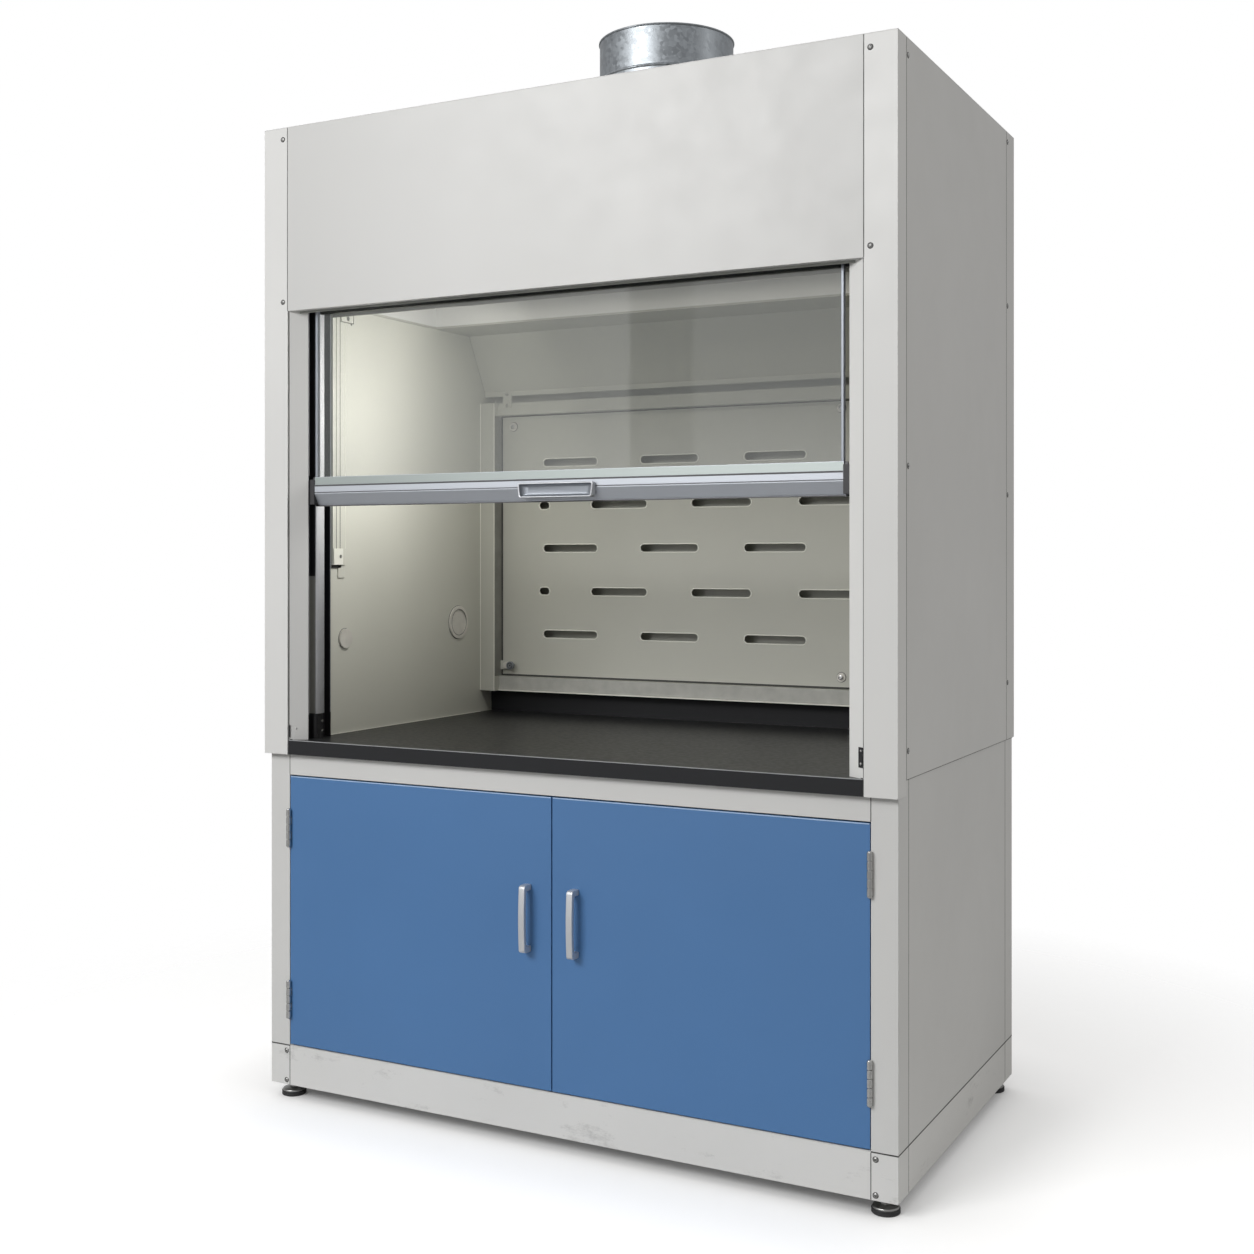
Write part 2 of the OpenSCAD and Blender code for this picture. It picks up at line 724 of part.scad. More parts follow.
// Cable from the sash shoe over the pulley and down into the counterweight
module sash_cables() color("gray") both_sides() {
    rod_z(cable_x, cable_d, [sash_z + 70, pulley_z], cable_r);
    rod_z(weight_x, cable_d, [weight_top - 30, pulley_z], cable_r);
    translate([pulley_x, y_front + cable_d, pulley_z]) rotate([90, 0, 0])
        rotate_extrude(angle = 180) translate([pulley_r, 0]) circle(r = cable_r, $fn = 20);
}

module counterweight() {
    difference() {
        block([weight_x - weight_w / 2, weight_x + weight_w / 2], [cable_d - weight_d / 2, cable_d + weight_d / 2],
            [weight_top - weight_h, weight_top]);
        rod_z(weight_x, cable_d, [weight_top - weight_h - 1, weight_top + 1], cable_r + 2);
    }
}

module left_counterweight() color("dimgray") mirror([1, 0, 0]) counterweight();
module right_counterweight() color("dimgray") counterweight();

// Extruded rail: slanted lower band, upright band and the clip that holds the glass
module sash_rail() color(silver) across([-sash_half, sash_half]) {
    z1 = sash_z + rail_slant_h;
    z2 = sash_z + rail_h;
    difference() {
        polygon([[rail_back, sash_z], [rail_back, z2],
            [glass_front + glass_t + 4, z2], [glass_front + glass_t + 4, z2 + rail_clip_h],
            [glass_front - 3, z2 + rail_clip_h], [sash_face, z2], [sash_face, z1 + 4],
            [sash_face + rail_groove, z1 + 4], [sash_face + rail_groove, z1 + 2], [sash_face, z1 + 2],
            [sash_face, z1], [sash_face + slant * (1 - rail_lip_h / rail_slant_h), sash_z + rail_lip_h],
            [sash_face + slant + 2.5, sash_z + rail_lip_h], [sash_face + slant + 2.5, sash_z]]);
        translate([glass_front - 0.1, z1 + 6]) square([glass_t + 0.2, rail_front_h + rail_clip_h]);
    }
}

// Pull with an open pocket, seated on both bands of the rail
module sash_grip() color("lightgray") {
    z1 = sash_z + rail_slant_h;
    low = z1 - 20;
    front = sash_face - grip_proud;
    difference() {
        across([-grip_w / 2, grip_w / 2]) polygon([
            [front + 3, low], [front, low + 3], [front, low + grip_h - 3], [front + 3, low + grip_h],
            [sash_face, low + grip_h], [sash_face, z1], [sash_face + slant * 20 / rail_slant_h, low]]);
        block([-grip_w / 2 + 9, grip_w / 2 - 9], [front - 1, sash_face - 2], [low + 6, low + grip_h - 6]);
    }
}

module sash_stiles() color(silver) both_sides() {
    difference() {
        block([sash_half - stile_w, sash_half], [glass_front - 2, glass_front + glass_t + 2],
            [sash_z + rail_h + rail_clip_h, sash_top]);
        block([sash_half - stile_w - 1, sash_half - stile_w + 8], [glass_front - 0.1, glass_front + glass_t + 0.1],
            [sash_z, sash_top + 1]);
    }
}

module sash_glass() color("lightblue", 0.3)
    block([-sash_half + stile_w - 8, sash_half - stile_w + 8], [glass_front, glass_front + glass_t],
        [sash_z + rail_slant_h + 6, sash_top]);

// Black end caps on the rail, with shoes that run in the track's front channel
module sash_end_caps() color(black) both_sides() {
    across([sash_half, sash_half + 8]) polygon([[sash_face + slant, sash_z], [rail_back, sash_z],
        [rail_back, sash_z + rail_h], [sash_face + 6, sash_z + rail_h + rail_clip_h],
        [sash_face, sash_z + rail_h], [sash_face, sash_z + rail_slant_h]]);
    for (z = [sash_z + 4, sash_top - 60])
        block([sash_half, shoe_reach], [front_in + insert_t + slide_gap, divider_front - insert_t - slide_gap], [z, z + 56]);
}

module upper_sash_glass() color("lightblue", 0.3)
    block([-sash_half, sash_half], [upper_glass_front, upper_glass_front + glass_t],
        [upper_low + 6, upper_low + upper_sash_h - 6]);

// Channels along the upper pane's lower and upper edges, with shoes in the rear channel
module upper_sash_frame() color(silver) {
    d = [upper_glass_front - 3, upper_glass_front + glass_t + 3];
    for (z = [[upper_low, upper_low + 18], [upper_low + upper_sash_h - 18, upper_low + upper_sash_h]]) {
        difference() {
            block([-sash_half, sash_half], d, z);
            block([-sash_half - 1, sash_half + 1], [upper_glass_front - 0.1, upper_glass_front + glass_t + 0.1],
                [max(z[0], upper_low + 6), min(z[1], upper_low + upper_sash_h - 6)]);
        }
        both_sides() block([sash_half, shoe_reach],
            [divider_back + insert_t + slide_gap, rear_out - insert_t - slide_gap], z);
    }
}

// Base posts, the upper part of each front flange cut back under the hood's posts
module base_posts() color(paint) both_sides() {
    x = [base_post_in, base_x];
    front = [base_setback, base_setback + base_post_side];
    block(x, [front[0], front[0] + sheet], [plinth_z, base_top]);
    block([x[0], x[0] + sheet], [front[0], front[0] + 24], [plinth_z, base_top]);
    block([x[1] - sheet, x[1]], front, [plinth_z, base_top]);
    block([x[1] - sheet, x[1]], [post_side + seam, front[1]], [base_top, joint_z - seam]);
    rear = [base_back - base_post_side, base_back];
    block([x[1] - sheet, x[1]], rear, [plinth_z, joint_z - seam]);
    block([x[0], x[1]], [rear[1] - sheet, rear[1]], [plinth_z, joint_z - seam]);
}

// Side panels, each with a folded shelf that carries the worktop's edge
module base_side_panels() color(paint) both_sides() {
    d = [base_setback + base_post_side + seam, base_back - base_post_side - seam];
    block([base_x - sheet, base_x], d, [plinth_z, joint_z - seam]);
    block([base_x - 32, base_x - sheet], d, [base_top - sheet, base_top]);
}

module base_back_panel() color(paint)
    block([-base_post_in + seam, base_post_in - seam], [base_back - sheet, base_back], [plinth_z, joint_z - seam]);

// Floor that lies on the plinth and carries the posts, set in to leave a shadow line
module base_floor() color(paint)
    block([-base_x + 1, base_x - 1], [base_setback + 1, base_back - 1], [plinth_z - floor_t, plinth_z]);

module base_top_rail() color(paint) {
    x = base_post_in - seam;
    z = [base_top - top_rail_h, base_top];
    block([-x, x], [base_setback, base_setback + sheet], z);
    for (level = [z[0], z[1] - sheet])
        block([-x, x], [base_setback, base_setback + 34], [level, level + sheet]);
}

module shelf() color(paint) {
    x = base_x - sheet;
    d = [base_setback + shelf_setback, base_back - sheet];
    block([-x, x], d, [shelf_z - sheet, shelf_z]);
    for (e = [[d[0], d[0] + sheet], [d[1] - sheet, d[1]]]) block([-x, x], e, [shelf_z - 30, shelf_z - sheet]);
}

// Skirts between the corner pieces, with the plates that the feet screw into
module plinth() color(paint) {
    z = [plinth_low, plinth_z - floor_t];
    far = [base_back - base_post_side, base_back];
    block([-base_post_in + seam, base_post_in - seam], [base_setback, base_setback + sheet], z);
    block([-base_post_in + seam, base_post_in - seam], [base_back - sheet, base_back], z);
    both_sides() {
        block([base_x - sheet, base_x], [base_setback + base_post_side + seam, far[0] - seam], z);
        corner_piece(base_setback, base_setback, foot_d[0], 1);
        corner_piece(far[0], far[1] - sheet, foot_d[1], -1);
    }
}

module corner_piece(side_d, face_d, stem_d, screws) {
    z = [plinth_low, plinth_z - floor_t];
    difference() {
        union() {
            block([base_post_in, base_x], [face_d, face_d + sheet], z);
            block([base_x - sheet, base_x], [side_d, side_d + base_post_side], z);
            block([base_post_in, base_x - sheet], [side_d + sheet, side_d + base_post_side - sheet],
                [plinth_low + 2, plinth_low + 6]);
        }
        rod_z(foot_x, stem_d, [plinth_low, plinth_low + 10], stem_r + run_gap);
        if (screws > 0) for (s = [plinth_low + 10, plinth_z - 14])
            rod_y(base_post_in + 9, [face_d - 1, face_d + sheet + 1], s, 2.6);
    }
}

// Hinge: heights of the five knuckles, shared by both halves
knuckle_h = hinge_l / 5;
hinge_low = [door_low + hinge_end - hinge_l / 2, door_top - hinge_end - hinge_l / 2];

module leaf(side, z0, own) {
    far = [barrel_r - 0.6, leaf_w];
    block([min(hinge_x + side * far[0], hinge_x + side * far[1]), max(hinge_x + side * far[0], hinge_x + side * far[1])],
        [base_setback - leaf_t, base_setback], [z0 + 0.2, z0 + hinge_l - 0.2]);
    for (k = own ? [0, 2, 4] : [1, 3]) difference() {
        z = [z0 + k * knuckle_h + 0.2, z0 + (k + 1) * knuckle_h - 0.2];
        union() {
            block([min(hinge_x, hinge_x + side * far[1]), max(hinge_x, hinge_x + side * far[1])],
                [base_setback - leaf_t, base_setback], z);
            rod_z(hinge_x, hinge_d, z, barrel_r);
        }
        if (!own) rod_z(hinge_x, hinge_d, [z[0] - 1, z[1] + 1], pin_r + run_gap);
    }
}

module hinge_frame_halves() color("silver") both_sides() for (z0 = hinge_low) {
    leaf(1, z0, true);
    rod_z(hinge_x, hinge_d, [z0 + 0.2, z0 + hinge_l - 0.2], pin_r);
}

module door_hinges() for (z0 = hinge_low) leaf(-1, z0, false);
module left_door_hinges() color("silver") mirror([1, 0, 0]) door_hinges();
module right_door_hinges() color("silver") door_hinges();

module door() {
    block([door_gap / 2, door_edge], [base_setback, base_setback + door_t], [door_low, door_top]);
}

module left_door() color(blue) mirror([1, 0, 0]) door();
module right_door() color(blue) door();

// Bowed bar handle: the outline follows a flat arch from foot to foot
function arch(reach, half) = [for (i = [0:24]) let (t = -1 + i / 12)
    [-reach * (1 - pow(abs(t), 3.2)), half * t]];

module door_handle() {
    translate([handle_x - handle_w / 2, y_front + base_setback, handle_z]) rotate([90, 0, 90])
        linear_extrude(handle_w) difference() {
            polygon(arch(handle_reach, handle_l / 2));
            translate([0.01, 0]) polygon(arch(handle_reach - handle_t, handle_l / 2 - handle_t * 1.3));
        }
}

module left_door_handle() color("silver") mirror([1, 0, 0]) door_handle();
module right_door_handle() color("silver") door_handle();

// Magnetic catches under the top rail, one for each door
module door_catches() color("dimgray") both_sides()
    block([20, 62], [base_setback + door_t + free_gap, base_setback + door_t + 22],
        [door_top - 14, base_top - top_rail_h]);

// Levelling foot: rubber base, metal disc, stem and lock nut
module foot(x, d) {
    nut = stem_r * 1.8;
    rod_z(x, d, [0, 6], foot_r);
    rod_z(x, d, [6, 12], foot_r - 2);
    rod_z(x, d, [12, plinth_low + 40], stem_r);
    translate([x, y_front + d, plinth_low - 6]) cylinder(h = 8, r = nut, $fn = 6);
}

module front_left_foot() color(black) foot(-foot_x, foot_d[0]);
module front_right_foot() color(black) foot(foot_x, foot_d[0]);
module rear_left_foot() color(black) foot(-foot_x, foot_d[1]);
module rear_right_foot() color(black) foot(foot_x, foot_d[1]);

// Domed screws: on the front posts, the sides and the plinth's front corners
module panel_screws() color("silver") both_sides() {
    for (z = [roof_z - 27, fascia_z + 21]) front_screw(post_in + 13, 0, z);
    for (z = [plinth_low + 10, plinth_z - 14]) front_screw(base_post_in + 9, base_setback, z);
    for (z = front_row_z) side_screw(front_row_d, z);
    for (z = rear_row_z) side_screw(rear_row_d, z);
}

module screw_form() {
    rotate_extrude() polygon([[0, -7], [2.4, -7], [2.4, 0], [4.6, 0], [4.2, 1.2], [2.8, 2.1], [0, 2.3]]);
}

module front_screw(x, d, z) translate([x, y_front + d, z]) rotate([90, 0, 0]) screw_form();
module side_screw(d, z) translate([half_w, y_front + d, z]) rotate([0, 90, 0]) screw_form();

left_front_post();
right_front_post();
jamb_panels();
fascia_panel();
left_side_panel();
right_side_panel();
hood_rear_posts();
hood_back_panel();
roof_panel();
exhaust_collar();
exhaust_plenum();
left_liner();
right_liner();
rear_liner();
ceiling_panel();
baffle_panel();
upper_baffle();
baffle_frame();
baffle_fixings();
baffle_latch();
worktop();
sash_tracks();
track_inserts();
liner_trims();
liner_fittings();
lamp_housing();
lamp_lens();
pulley_brackets();
sash_cables();
sash_rail();
sash_grip();
sash_stiles();
sash_glass();
sash_end_caps();
upper_sash_glass();
upper_sash_frame();
left_counterweight();
right_counterweight();
left_pulley();
right_pulley();
base_posts();
base_side_panels();
base_back_panel();
base_floor();
base_top_rail();
shelf();
plinth();
hinge_frame_halves();
door_catches();
panel_screws();
left_door();
right_door();
left_door_hinges();
right_door_hinges();
left_door_handle();
right_door_handle();
front_left_foot();
front_right_foot();
rear_left_foot();
rear_right_foot();
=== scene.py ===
"""Dresses the fume hood's frame: camera, light, finishes and the small pieces that the solids leave plain."""

import json
import math

import bmesh
import bpy
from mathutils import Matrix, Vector


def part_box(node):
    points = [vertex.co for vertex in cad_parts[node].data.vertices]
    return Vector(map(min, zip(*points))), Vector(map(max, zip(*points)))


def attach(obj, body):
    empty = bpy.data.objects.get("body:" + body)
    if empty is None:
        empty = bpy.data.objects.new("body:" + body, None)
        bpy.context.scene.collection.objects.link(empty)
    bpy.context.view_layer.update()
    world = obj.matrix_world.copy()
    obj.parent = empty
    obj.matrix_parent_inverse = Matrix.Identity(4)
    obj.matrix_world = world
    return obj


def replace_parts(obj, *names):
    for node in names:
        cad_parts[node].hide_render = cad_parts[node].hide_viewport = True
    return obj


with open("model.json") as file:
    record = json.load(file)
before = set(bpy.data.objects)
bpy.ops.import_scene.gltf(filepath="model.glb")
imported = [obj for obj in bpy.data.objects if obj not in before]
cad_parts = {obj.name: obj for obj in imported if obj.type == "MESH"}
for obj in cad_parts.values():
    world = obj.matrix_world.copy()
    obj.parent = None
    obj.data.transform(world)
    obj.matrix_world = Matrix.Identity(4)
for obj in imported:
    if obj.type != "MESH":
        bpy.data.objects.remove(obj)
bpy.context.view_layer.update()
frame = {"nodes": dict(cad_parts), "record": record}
NODES = frame["nodes"]

# The front posts' faces: depths in this script are metres behind that plane
Y_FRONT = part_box("left_front_post")[0].y

# Faces and edges of the solids that the added pieces follow: half widths, depths and heights
CASE_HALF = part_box("right_front_post")[1].x
BASE_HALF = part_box("base_posts")[1].x
BASE_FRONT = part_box("base_posts")[0].y - Y_FRONT
LINER_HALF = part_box("right_liner")[0].x
BAFFLE_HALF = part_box("baffle_panel")[1].x
BAFFLE_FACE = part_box("baffle_panel")[0].y - Y_FRONT
BAFFLE_RISE = [corner.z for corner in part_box("baffle_panel")]
PLINTH_GAP = (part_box("plinth")[1].z - 0.0005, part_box("base_posts")[0].z + 0.0002)
TRIM_RISE = (1.2545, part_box("liner_trims")[1].z - 0.0005)
TRACK_HALF = 0.6465


def at(x, depth, z):
    """A point given by its width, its depth behind the front posts' faces and its height."""
    return Vector((x, Y_FRONT + depth, z))


# Camera at the photograph's place: level, turned to the left, with the horizon above the middle
def add_camera():
    data = bpy.data.cameras.new("camera")
    data.sensor_width = 36.0
    data.lens = 45.19
    data.shift_y = -0.0549
    data.clip_end = 60.0
    camera = bpy.data.objects.new("camera", data)
    camera.location = (1.65965, -3.21975, 1.232)
    camera.rotation_euler = (math.radians(90), 0, math.radians(27.77))
    bpy.context.collection.objects.link(camera)
    bpy.context.scene.camera = camera


# Material building

def new_material(name):
    material = bpy.data.materials.new(name)
    material.use_nodes = True
    tree = material.node_tree
    return material, tree, tree.nodes["Principled BSDF"]


def node(tree, kind, **values):
    made = tree.nodes.new(kind)
    for key, value in values.items():
        if hasattr(made, key) and key not in made.inputs:
            setattr(made, key, value)
        else:
            made.inputs[key].default_value = value
    return made


def noise(tree, scale, detail=4.0, roughness=0.5, stretch=None):
    """Noise over object coordinates, so that it stays on the surface in every view."""
    coords = tree.nodes.new("ShaderNodeTexCoord")
    texture = node(tree, "ShaderNodeTexNoise", Scale=scale, Detail=detail, Roughness=roughness)
    source = coords.outputs["Object"]
    if stretch:
        mapping = tree.nodes.new("ShaderNodeMapping")
        mapping.inputs["Scale"].default_value = stretch
        tree.links.new(source, mapping.inputs["Vector"])
        source = mapping.outputs["Vector"]
    tree.links.new(source, texture.inputs["Vector"])
    return texture.outputs["Fac"]


def ramp(tree, source, stops):
    """Turns a value into a colour through the stops, each a place and a colour."""
    made = tree.nodes.new("ShaderNodeValToRGB")
    band = made.color_ramp
    while len(band.elements) < len(stops):
        band.elements.new(0.5)
    for element, (place, colour) in zip(band.elements, stops):
        element.position = place
        element.color = (*colour, 1.0)
    tree.links.new(source, made.inputs["Fac"])
    return made.outputs["Color"]


def spread(tree, source, low, high, out_low, out_high):
    made = tree.nodes.new("ShaderNodeMapRange")
    for key, value in (("From Min", low), ("From Max", high), ("To Min", out_low), ("To Max", out_high)):
        made.inputs[key].default_value = value
    tree.links.new(source, made.inputs["Value"])
    return made.outputs["Result"]


def mix(tree, factor, a, b, blend="MIX"):
    made = tree.nodes.new("ShaderNodeMix")
    made.data_type = "RGBA"
    made.blend_type = blend
    for key, value in ((0, factor), (6, a), (7, b)):
        if isinstance(value, (int, float)):
            made.inputs[key].default_value = value
        elif isinstance(value, tuple):
            made.inputs[key].default_value = (*value, 1.0)
        else:
            tree.links.new(value, made.inputs[key])
    return made.outputs[2]


def bump(tree, shader, height, distance, strength=1.0, edge=0.0):
    """Surface relief, with softened edges where edge gives their radius."""
    made = node(tree, "ShaderNodeBump", Distance=distance, Strength=strength)
    tree.links.new(height, made.inputs["Height"])
    if edge:
        soft = node(tree, "ShaderNodeBevel", Radius=edge)
        soft.samples = 4
        tree.links.new(soft.outputs["Normal"], made.inputs["Normal"])
    tree.links.new(made.outputs["Normal"], shader.inputs["Normal"])


def shade(colour, factor):
    return tuple(min(1.0, c * factor) for c in colour)


def place_mask(tree, axis, near, far):
    """0 where the world coordinate is near, 1 where it is far."""
    place = tree.nodes.new("ShaderNodeNewGeometry")
    parts = tree.nodes.new("ShaderNodeSeparateXYZ")
    tree.links.new(place.outputs["Position"], parts.inputs[0])
    return spread(tree, parts.outputs[axis], near, far, 0.0, 1.0)


def painted(name, colour, rough=0.42, grain=700.0, edge=0.0009, marks=0.0, deep_shade=None, outer_shade=None,
            sides=None):
    """Powder coat: faint cloudiness and fine orange peel, with scuffs where marks is above 0.

    deep_shade is the share of the colour left far inside the hood and outer_shade the share left towards both
    sides, both painted shade; sides gives the two shares on the left and on the right, painted shade below 1
    and painted light above it."""
    material, tree, shader = new_material(name)
    clouds = noise(tree, 2.2, 3.0, 0.5)
    tint = ramp(tree, clouds, [(0.3, shade(colour, 0.965)), (0.7, shade(colour, 1.02))])
    if marks:
        smear = noise(tree, 7.0, 9.0, 0.78, (1.0, 1.0, 2.2))
        streak = spread(tree, smear, 0.57, 0.74, 0.0, marks)
        tint = mix(tree, streak, tint, shade(colour, 0.38))
        nick = spread(tree, noise(tree, 60.0, 6.0, 0.8, (1.0, 1.0, 0.35)), 0.70, 0.74, 0.0, marks)
        tint = mix(tree, nick, tint, shade(colour, 0.22))
    # Painted shade: the colour darkens far inside the hood
    if deep_shade:
        inwards = place_mask(tree, "Y", Y_FRONT + 0.40, Y_FRONT + 0.80)
        tint = mix(tree, inwards, tint, shade(colour, deep_shade))
    # Painted shade: the colour darkens towards both sides
    if outer_shade:
        for near, far in ((-0.25, -0.66), (0.25, 0.66)):
            tint = mix(tree, place_mask(tree, "X", near, far), tint, shade(colour, outer_shade))
    # Painted light and shade: one share of the colour on the left and another on the right
    if sides:
        left, right = (shade(colour, share) for share in sides)
        tint = mix(tree, place_mask(tree, "X", -0.1, 0.1), left, right)
    tree.links.new(tint, shader.inputs["Base Color"])
    patches = noise(tree, 14.0, 3.0)
    tree.links.new(spread(tree, patches, 0.3, 0.7, rough - 0.04, rough + 0.05), shader.inputs["Roughness"])
    bump(tree, shader, noise(tree, grain, 2.0), 0.00005, 0.35, edge)
    shader.inputs["Specular IOR Level"].default_value = 0.45
    return material


def moulded(name, colour, rough=0.5, grain=900.0):
    material, tree, shader = new_material(name)
    tint = ramp(tree, noise(tree, 30.0, 3.0), [(0.3, shade(colour, 0.9)), (0.7, shade(colour, 1.1))])
    tree.links.new(tint, shader.inputs["Base Color"])
    shader.inputs["Roughness"].default_value = rough
    bump(tree, shader, noise(tree, grain, 2.0), 0.00006, 0.4, 0.0006)
    return material


def metal(name, colour, rough, stretch=(1.0, 60.0, 60.0), contrast=0.06, edge=0.0005, metallic=1.0):
    """Drawn or brushed metal: fine lines along the axis whose stretch is smallest."""
    material, tree, shader = new_material(name)
    lines = noise(tree, 40.0, 6.0, 0.6, stretch)
    tint = ramp(tree, lines, [(0.3, shade(colour, 1 - contrast)), (0.7, shade(colour, 1 + contrast))])
    tree.links.new(tint, shader.inputs["Base Color"])
    tree.links.new(spread(tree, lines, 0.3, 0.7, rough - 0.05, rough + 0.06), shader.inputs["Roughness"])
    shader.inputs["Metallic"].default_value = metallic
    bump(tree, shader, lines, 0.00004, 0.3, edge)
    return material


def galvanised(name, colour):
    """Zinc sheet with crystal spangle."""
    material, tree, shader = new_material(name)
    coords = tree.nodes.new("ShaderNodeTexCoord")
    cells = node(tree, "ShaderNodeTexVoronoi", Scale=120.0, Randomness=1.0)
    tree.links.new(coords.outputs["Object"], cells.inputs["Vector"])
    grey = tree.nodes.new("ShaderNodeSeparateColor")
    tree.links.new(cells.outputs["Color"], grey.inputs["Color"])
    spangle = ramp(tree, grey.outputs["Red"], [(0.0, shade(colour, 0.78)), (1.0, shade(colour, 1.10))])
    stain = spread(tree, noise(tree, 9.0, 5.0, 0.6), 0.35, 0.75, 0.0, 0.25)
    tree.links.new(mix(tree, stain, spangle, shade(colour, 0.6)), shader.inputs["Base Color"])
    tree.links.new(spread(tree, grey.outputs["Red"], 0.0, 1.0, 0.36, 0.55), shader.inputs["Roughness"])
    shader.inputs["Metallic"].default_value = 1.0
    bump(tree, shader, grey.outputs["Red"], 0.00008, 0.25, 0.0005)
    return material


def cast_resin(name, colour):
    """Dark worktop: fine pale speckle and a soft sheen."""
    material, tree, shader = new_material(name)
    specks = noise(tree, 1500.0, 2.0, 0.6)
    speckle = spread(tree, specks, 0.62, 0.74, 0.0, 0.35)
    base = ramp(tree, noise(tree, 160.0, 5.0, 0.6), [(0.3, shade(colour, 0.85)), (0.7, shade(colour, 1.2))])
    tree.links.new(mix(tree, speckle, base, (0.09, 0.09, 0.095)), shader.inputs["Base Color"])
    tree.links.new(spread(tree, noise(tree, 90.0, 5.0), 0.3, 0.7, 0.34, 0.42), shader.inputs["Roughness"])
    bump(tree, shader, noise(tree, 700.0, 3.0), 0.00006, 0.3, 0.0012)
    return material


def clear_glass(name):
    """Pane seen straight through: two faces that each let four fifths pass and mirror a few per cent."""
    material, _, shader = new_material(name)
    shader.inputs["Base Color"].default_value = (0.085, 0.105, 0.095, 1.0)
    shader.inputs["Roughness"].default_value = 0.03
    shader.inputs["IOR"].default_value = 2.7
    shader.inputs["Alpha"].default_value = 0.19
    return material


BODY_COLOUR = (0.66, 0.66, 0.648)
INSIDE_COLOUR = (0.68, 0.68, 0.61)
NO_LINES = (1.0, 1.0, 1.0)
UPRIGHT_LINES = (60.0, 60.0, 1.0)

MATERIALS = {
    "painted_body": painted("body paint", BODY_COLOUR),
    # Painted shade: the fascia darkens towards both sides
    "fascia": painted("fascia paint with painted side shade", BODY_COLOUR, outer_shade=0.90),
    # Painted light and shade: the left jamb darker and the right one lighter, as the light falls from the
    # left
    "jamb": painted("jamb paint with painted light and shade", BODY_COLOUR, sides=(0.83, 1.19)),
    # Painted light: the posts lighter than the body paint
    "post": painted("post paint with painted light", shade(BODY_COLOUR, 1.08)),
    "plinth": painted("plinth paint", shade(BODY_COLOUR, 1.09), marks=0.6),
    # Painted shade: the liner paint darkens far inside the hood
    "painted_inside": painted("liner paint", INSIDE_COLOUR, rough=0.36, grain=500.0, deep_shade=0.80),
    # Painted shade: the ceiling a darker copy of the liner paint, darker still far inside
    "ceiling": painted("ceiling paint with painted shade", shade(INSIDE_COLOUR, 0.76), rough=0.36, grain=500.0, deep_shade=0.85),
    "shade_paint": moulded("shaded liner paint", (0.25, 0.25, 0.23), 0.6),
    # Painted shade: the ledge under the baffle a darker copy of the liner paint
    "ledge_shade_paint": moulded("ledge paint with painted shade", (0.44, 0.44, 0.41), 0.5),
    # Painted shade: the opening's lip a darker copy of the body paint, as it lies in shadow under the fascia
    "lip_shade_paint": moulded("lip paint with painted shade", (0.30, 0.31, 0.285), 0.5),
    # Painted highlight: pale lines along edges and round the baffle's slots
    "highlight_paint": painted("painted edge highlight", (0.90, 0.90, 0.82)),
    # Painted highlight: a pale line along the worktop's front edge
    "resin_edge_highlight": moulded("worktop edge highlight", (0.32, 0.33, 0.34), 0.35),
    # Painted highlight: a pale line along each door's top edge
    "door_edge": moulded("door edge highlight", (0.42, 0.58, 0.80), 0.35),
    "blue_paint": painted("door paint", (0.073, 0.190, 0.410), rough=0.46, grain=800.0),
    "galvanised": galvanised("zinc sheet", (0.36, 0.385, 0.405)),
    "anodised": metal("satin aluminium", (0.46, 0.485, 0.525), 0.38, contrast=0.04, metallic=0.55),
    "bright_steel": metal("plated steel", (0.55, 0.55, 0.54), 0.28, (1.0, 1.0, 8.0)),
    "steel_rope": metal("wire rope", (0.40, 0.40, 0.41), 0.4),
    "iron": moulded("cast weight", (0.09, 0.09, 0.095), 0.7, 300.0),
    "black_plastic": moulded("black plastic", (0.018, 0.018, 0.020), 0.42),
    "pulley_plastic": moulded("pulley nylon", (0.07, 0.07, 0.075), 0.45),
    "white_plastic": moulded("off-white plastic", (0.68, 0.66, 0.61), 0.38),
    "foot_rubber": moulded("foot rubber", (0.022, 0.022, 0.024), 0.6, 500.0),
    "worktop_resin": cast_resin("worktop resin", (0.0155, 0.0157, 0.0170)),
    "lamp_body": painted("lamp enamel", (0.80, 0.80, 0.78)),
    "lamp_lens": moulded("lamp diffuser", (0.62, 0.61, 0.57), 0.35, 400.0),
    "handle_metal": metal("handle aluminium", (0.60, 0.615, 0.64), 0.36, UPRIGHT_LINES, 0.04, metallic=0.55),
    "stile_metal": metal("stile aluminium", (0.27, 0.29, 0.32), 0.36, UPRIGHT_LINES, 0.04, metallic=0.6),
    "clip_metal": metal("clip aluminium", (0.30, 0.335, 0.325), 0.34, contrast=0.03, metallic=0.4),
    # Painted highlight: the tracks' noses near white and barely metallic, standing in for their bright sheen
    "track_highlight_metal": metal("track aluminium with painted highlight", (0.88, 0.89, 0.92), 0.30, UPRIGHT_LINES, 0.04, metallic=0.10),
    # Painted shade: the worktop's front face and its upstand far darker than the resin
    "resin_front_shade": moulded("worktop front with painted shade", (0.0020, 0.0024, 0.0040), 0.75),
    "hinge_steel": metal("hinge steel", (0.56, 0.56, 0.55), 0.22, NO_LINES, 0.01, 0.0),
    "screw_steel": metal("zinc plated screw", (0.36, 0.36, 0.35), 0.30, NO_LINES, 0.10, 0.0),
    # Dark joints, and painted shadow under and behind edges, round screw seats and in the latch's hollows
    "joint_shadow": moulded("dark joint and painted shadow", (0.055, 0.055, 0.053), 0.7),
    "clear_glass": clear_glass("sash glass"),
}

# Nodes with a finish of their own in place of their slot's. The finishes of the fascia, the posts, the jambs
# and the ceiling carry painted light and shade.
DRESSED = {"plinth": "plinth", "fascia_panel": "fascia", "left_front_post": "post",
           "right_front_post": "post", "track_inserts": "insert_plastic", "jamb_panels": "jamb",
           "ceiling_panel": "ceiling"}


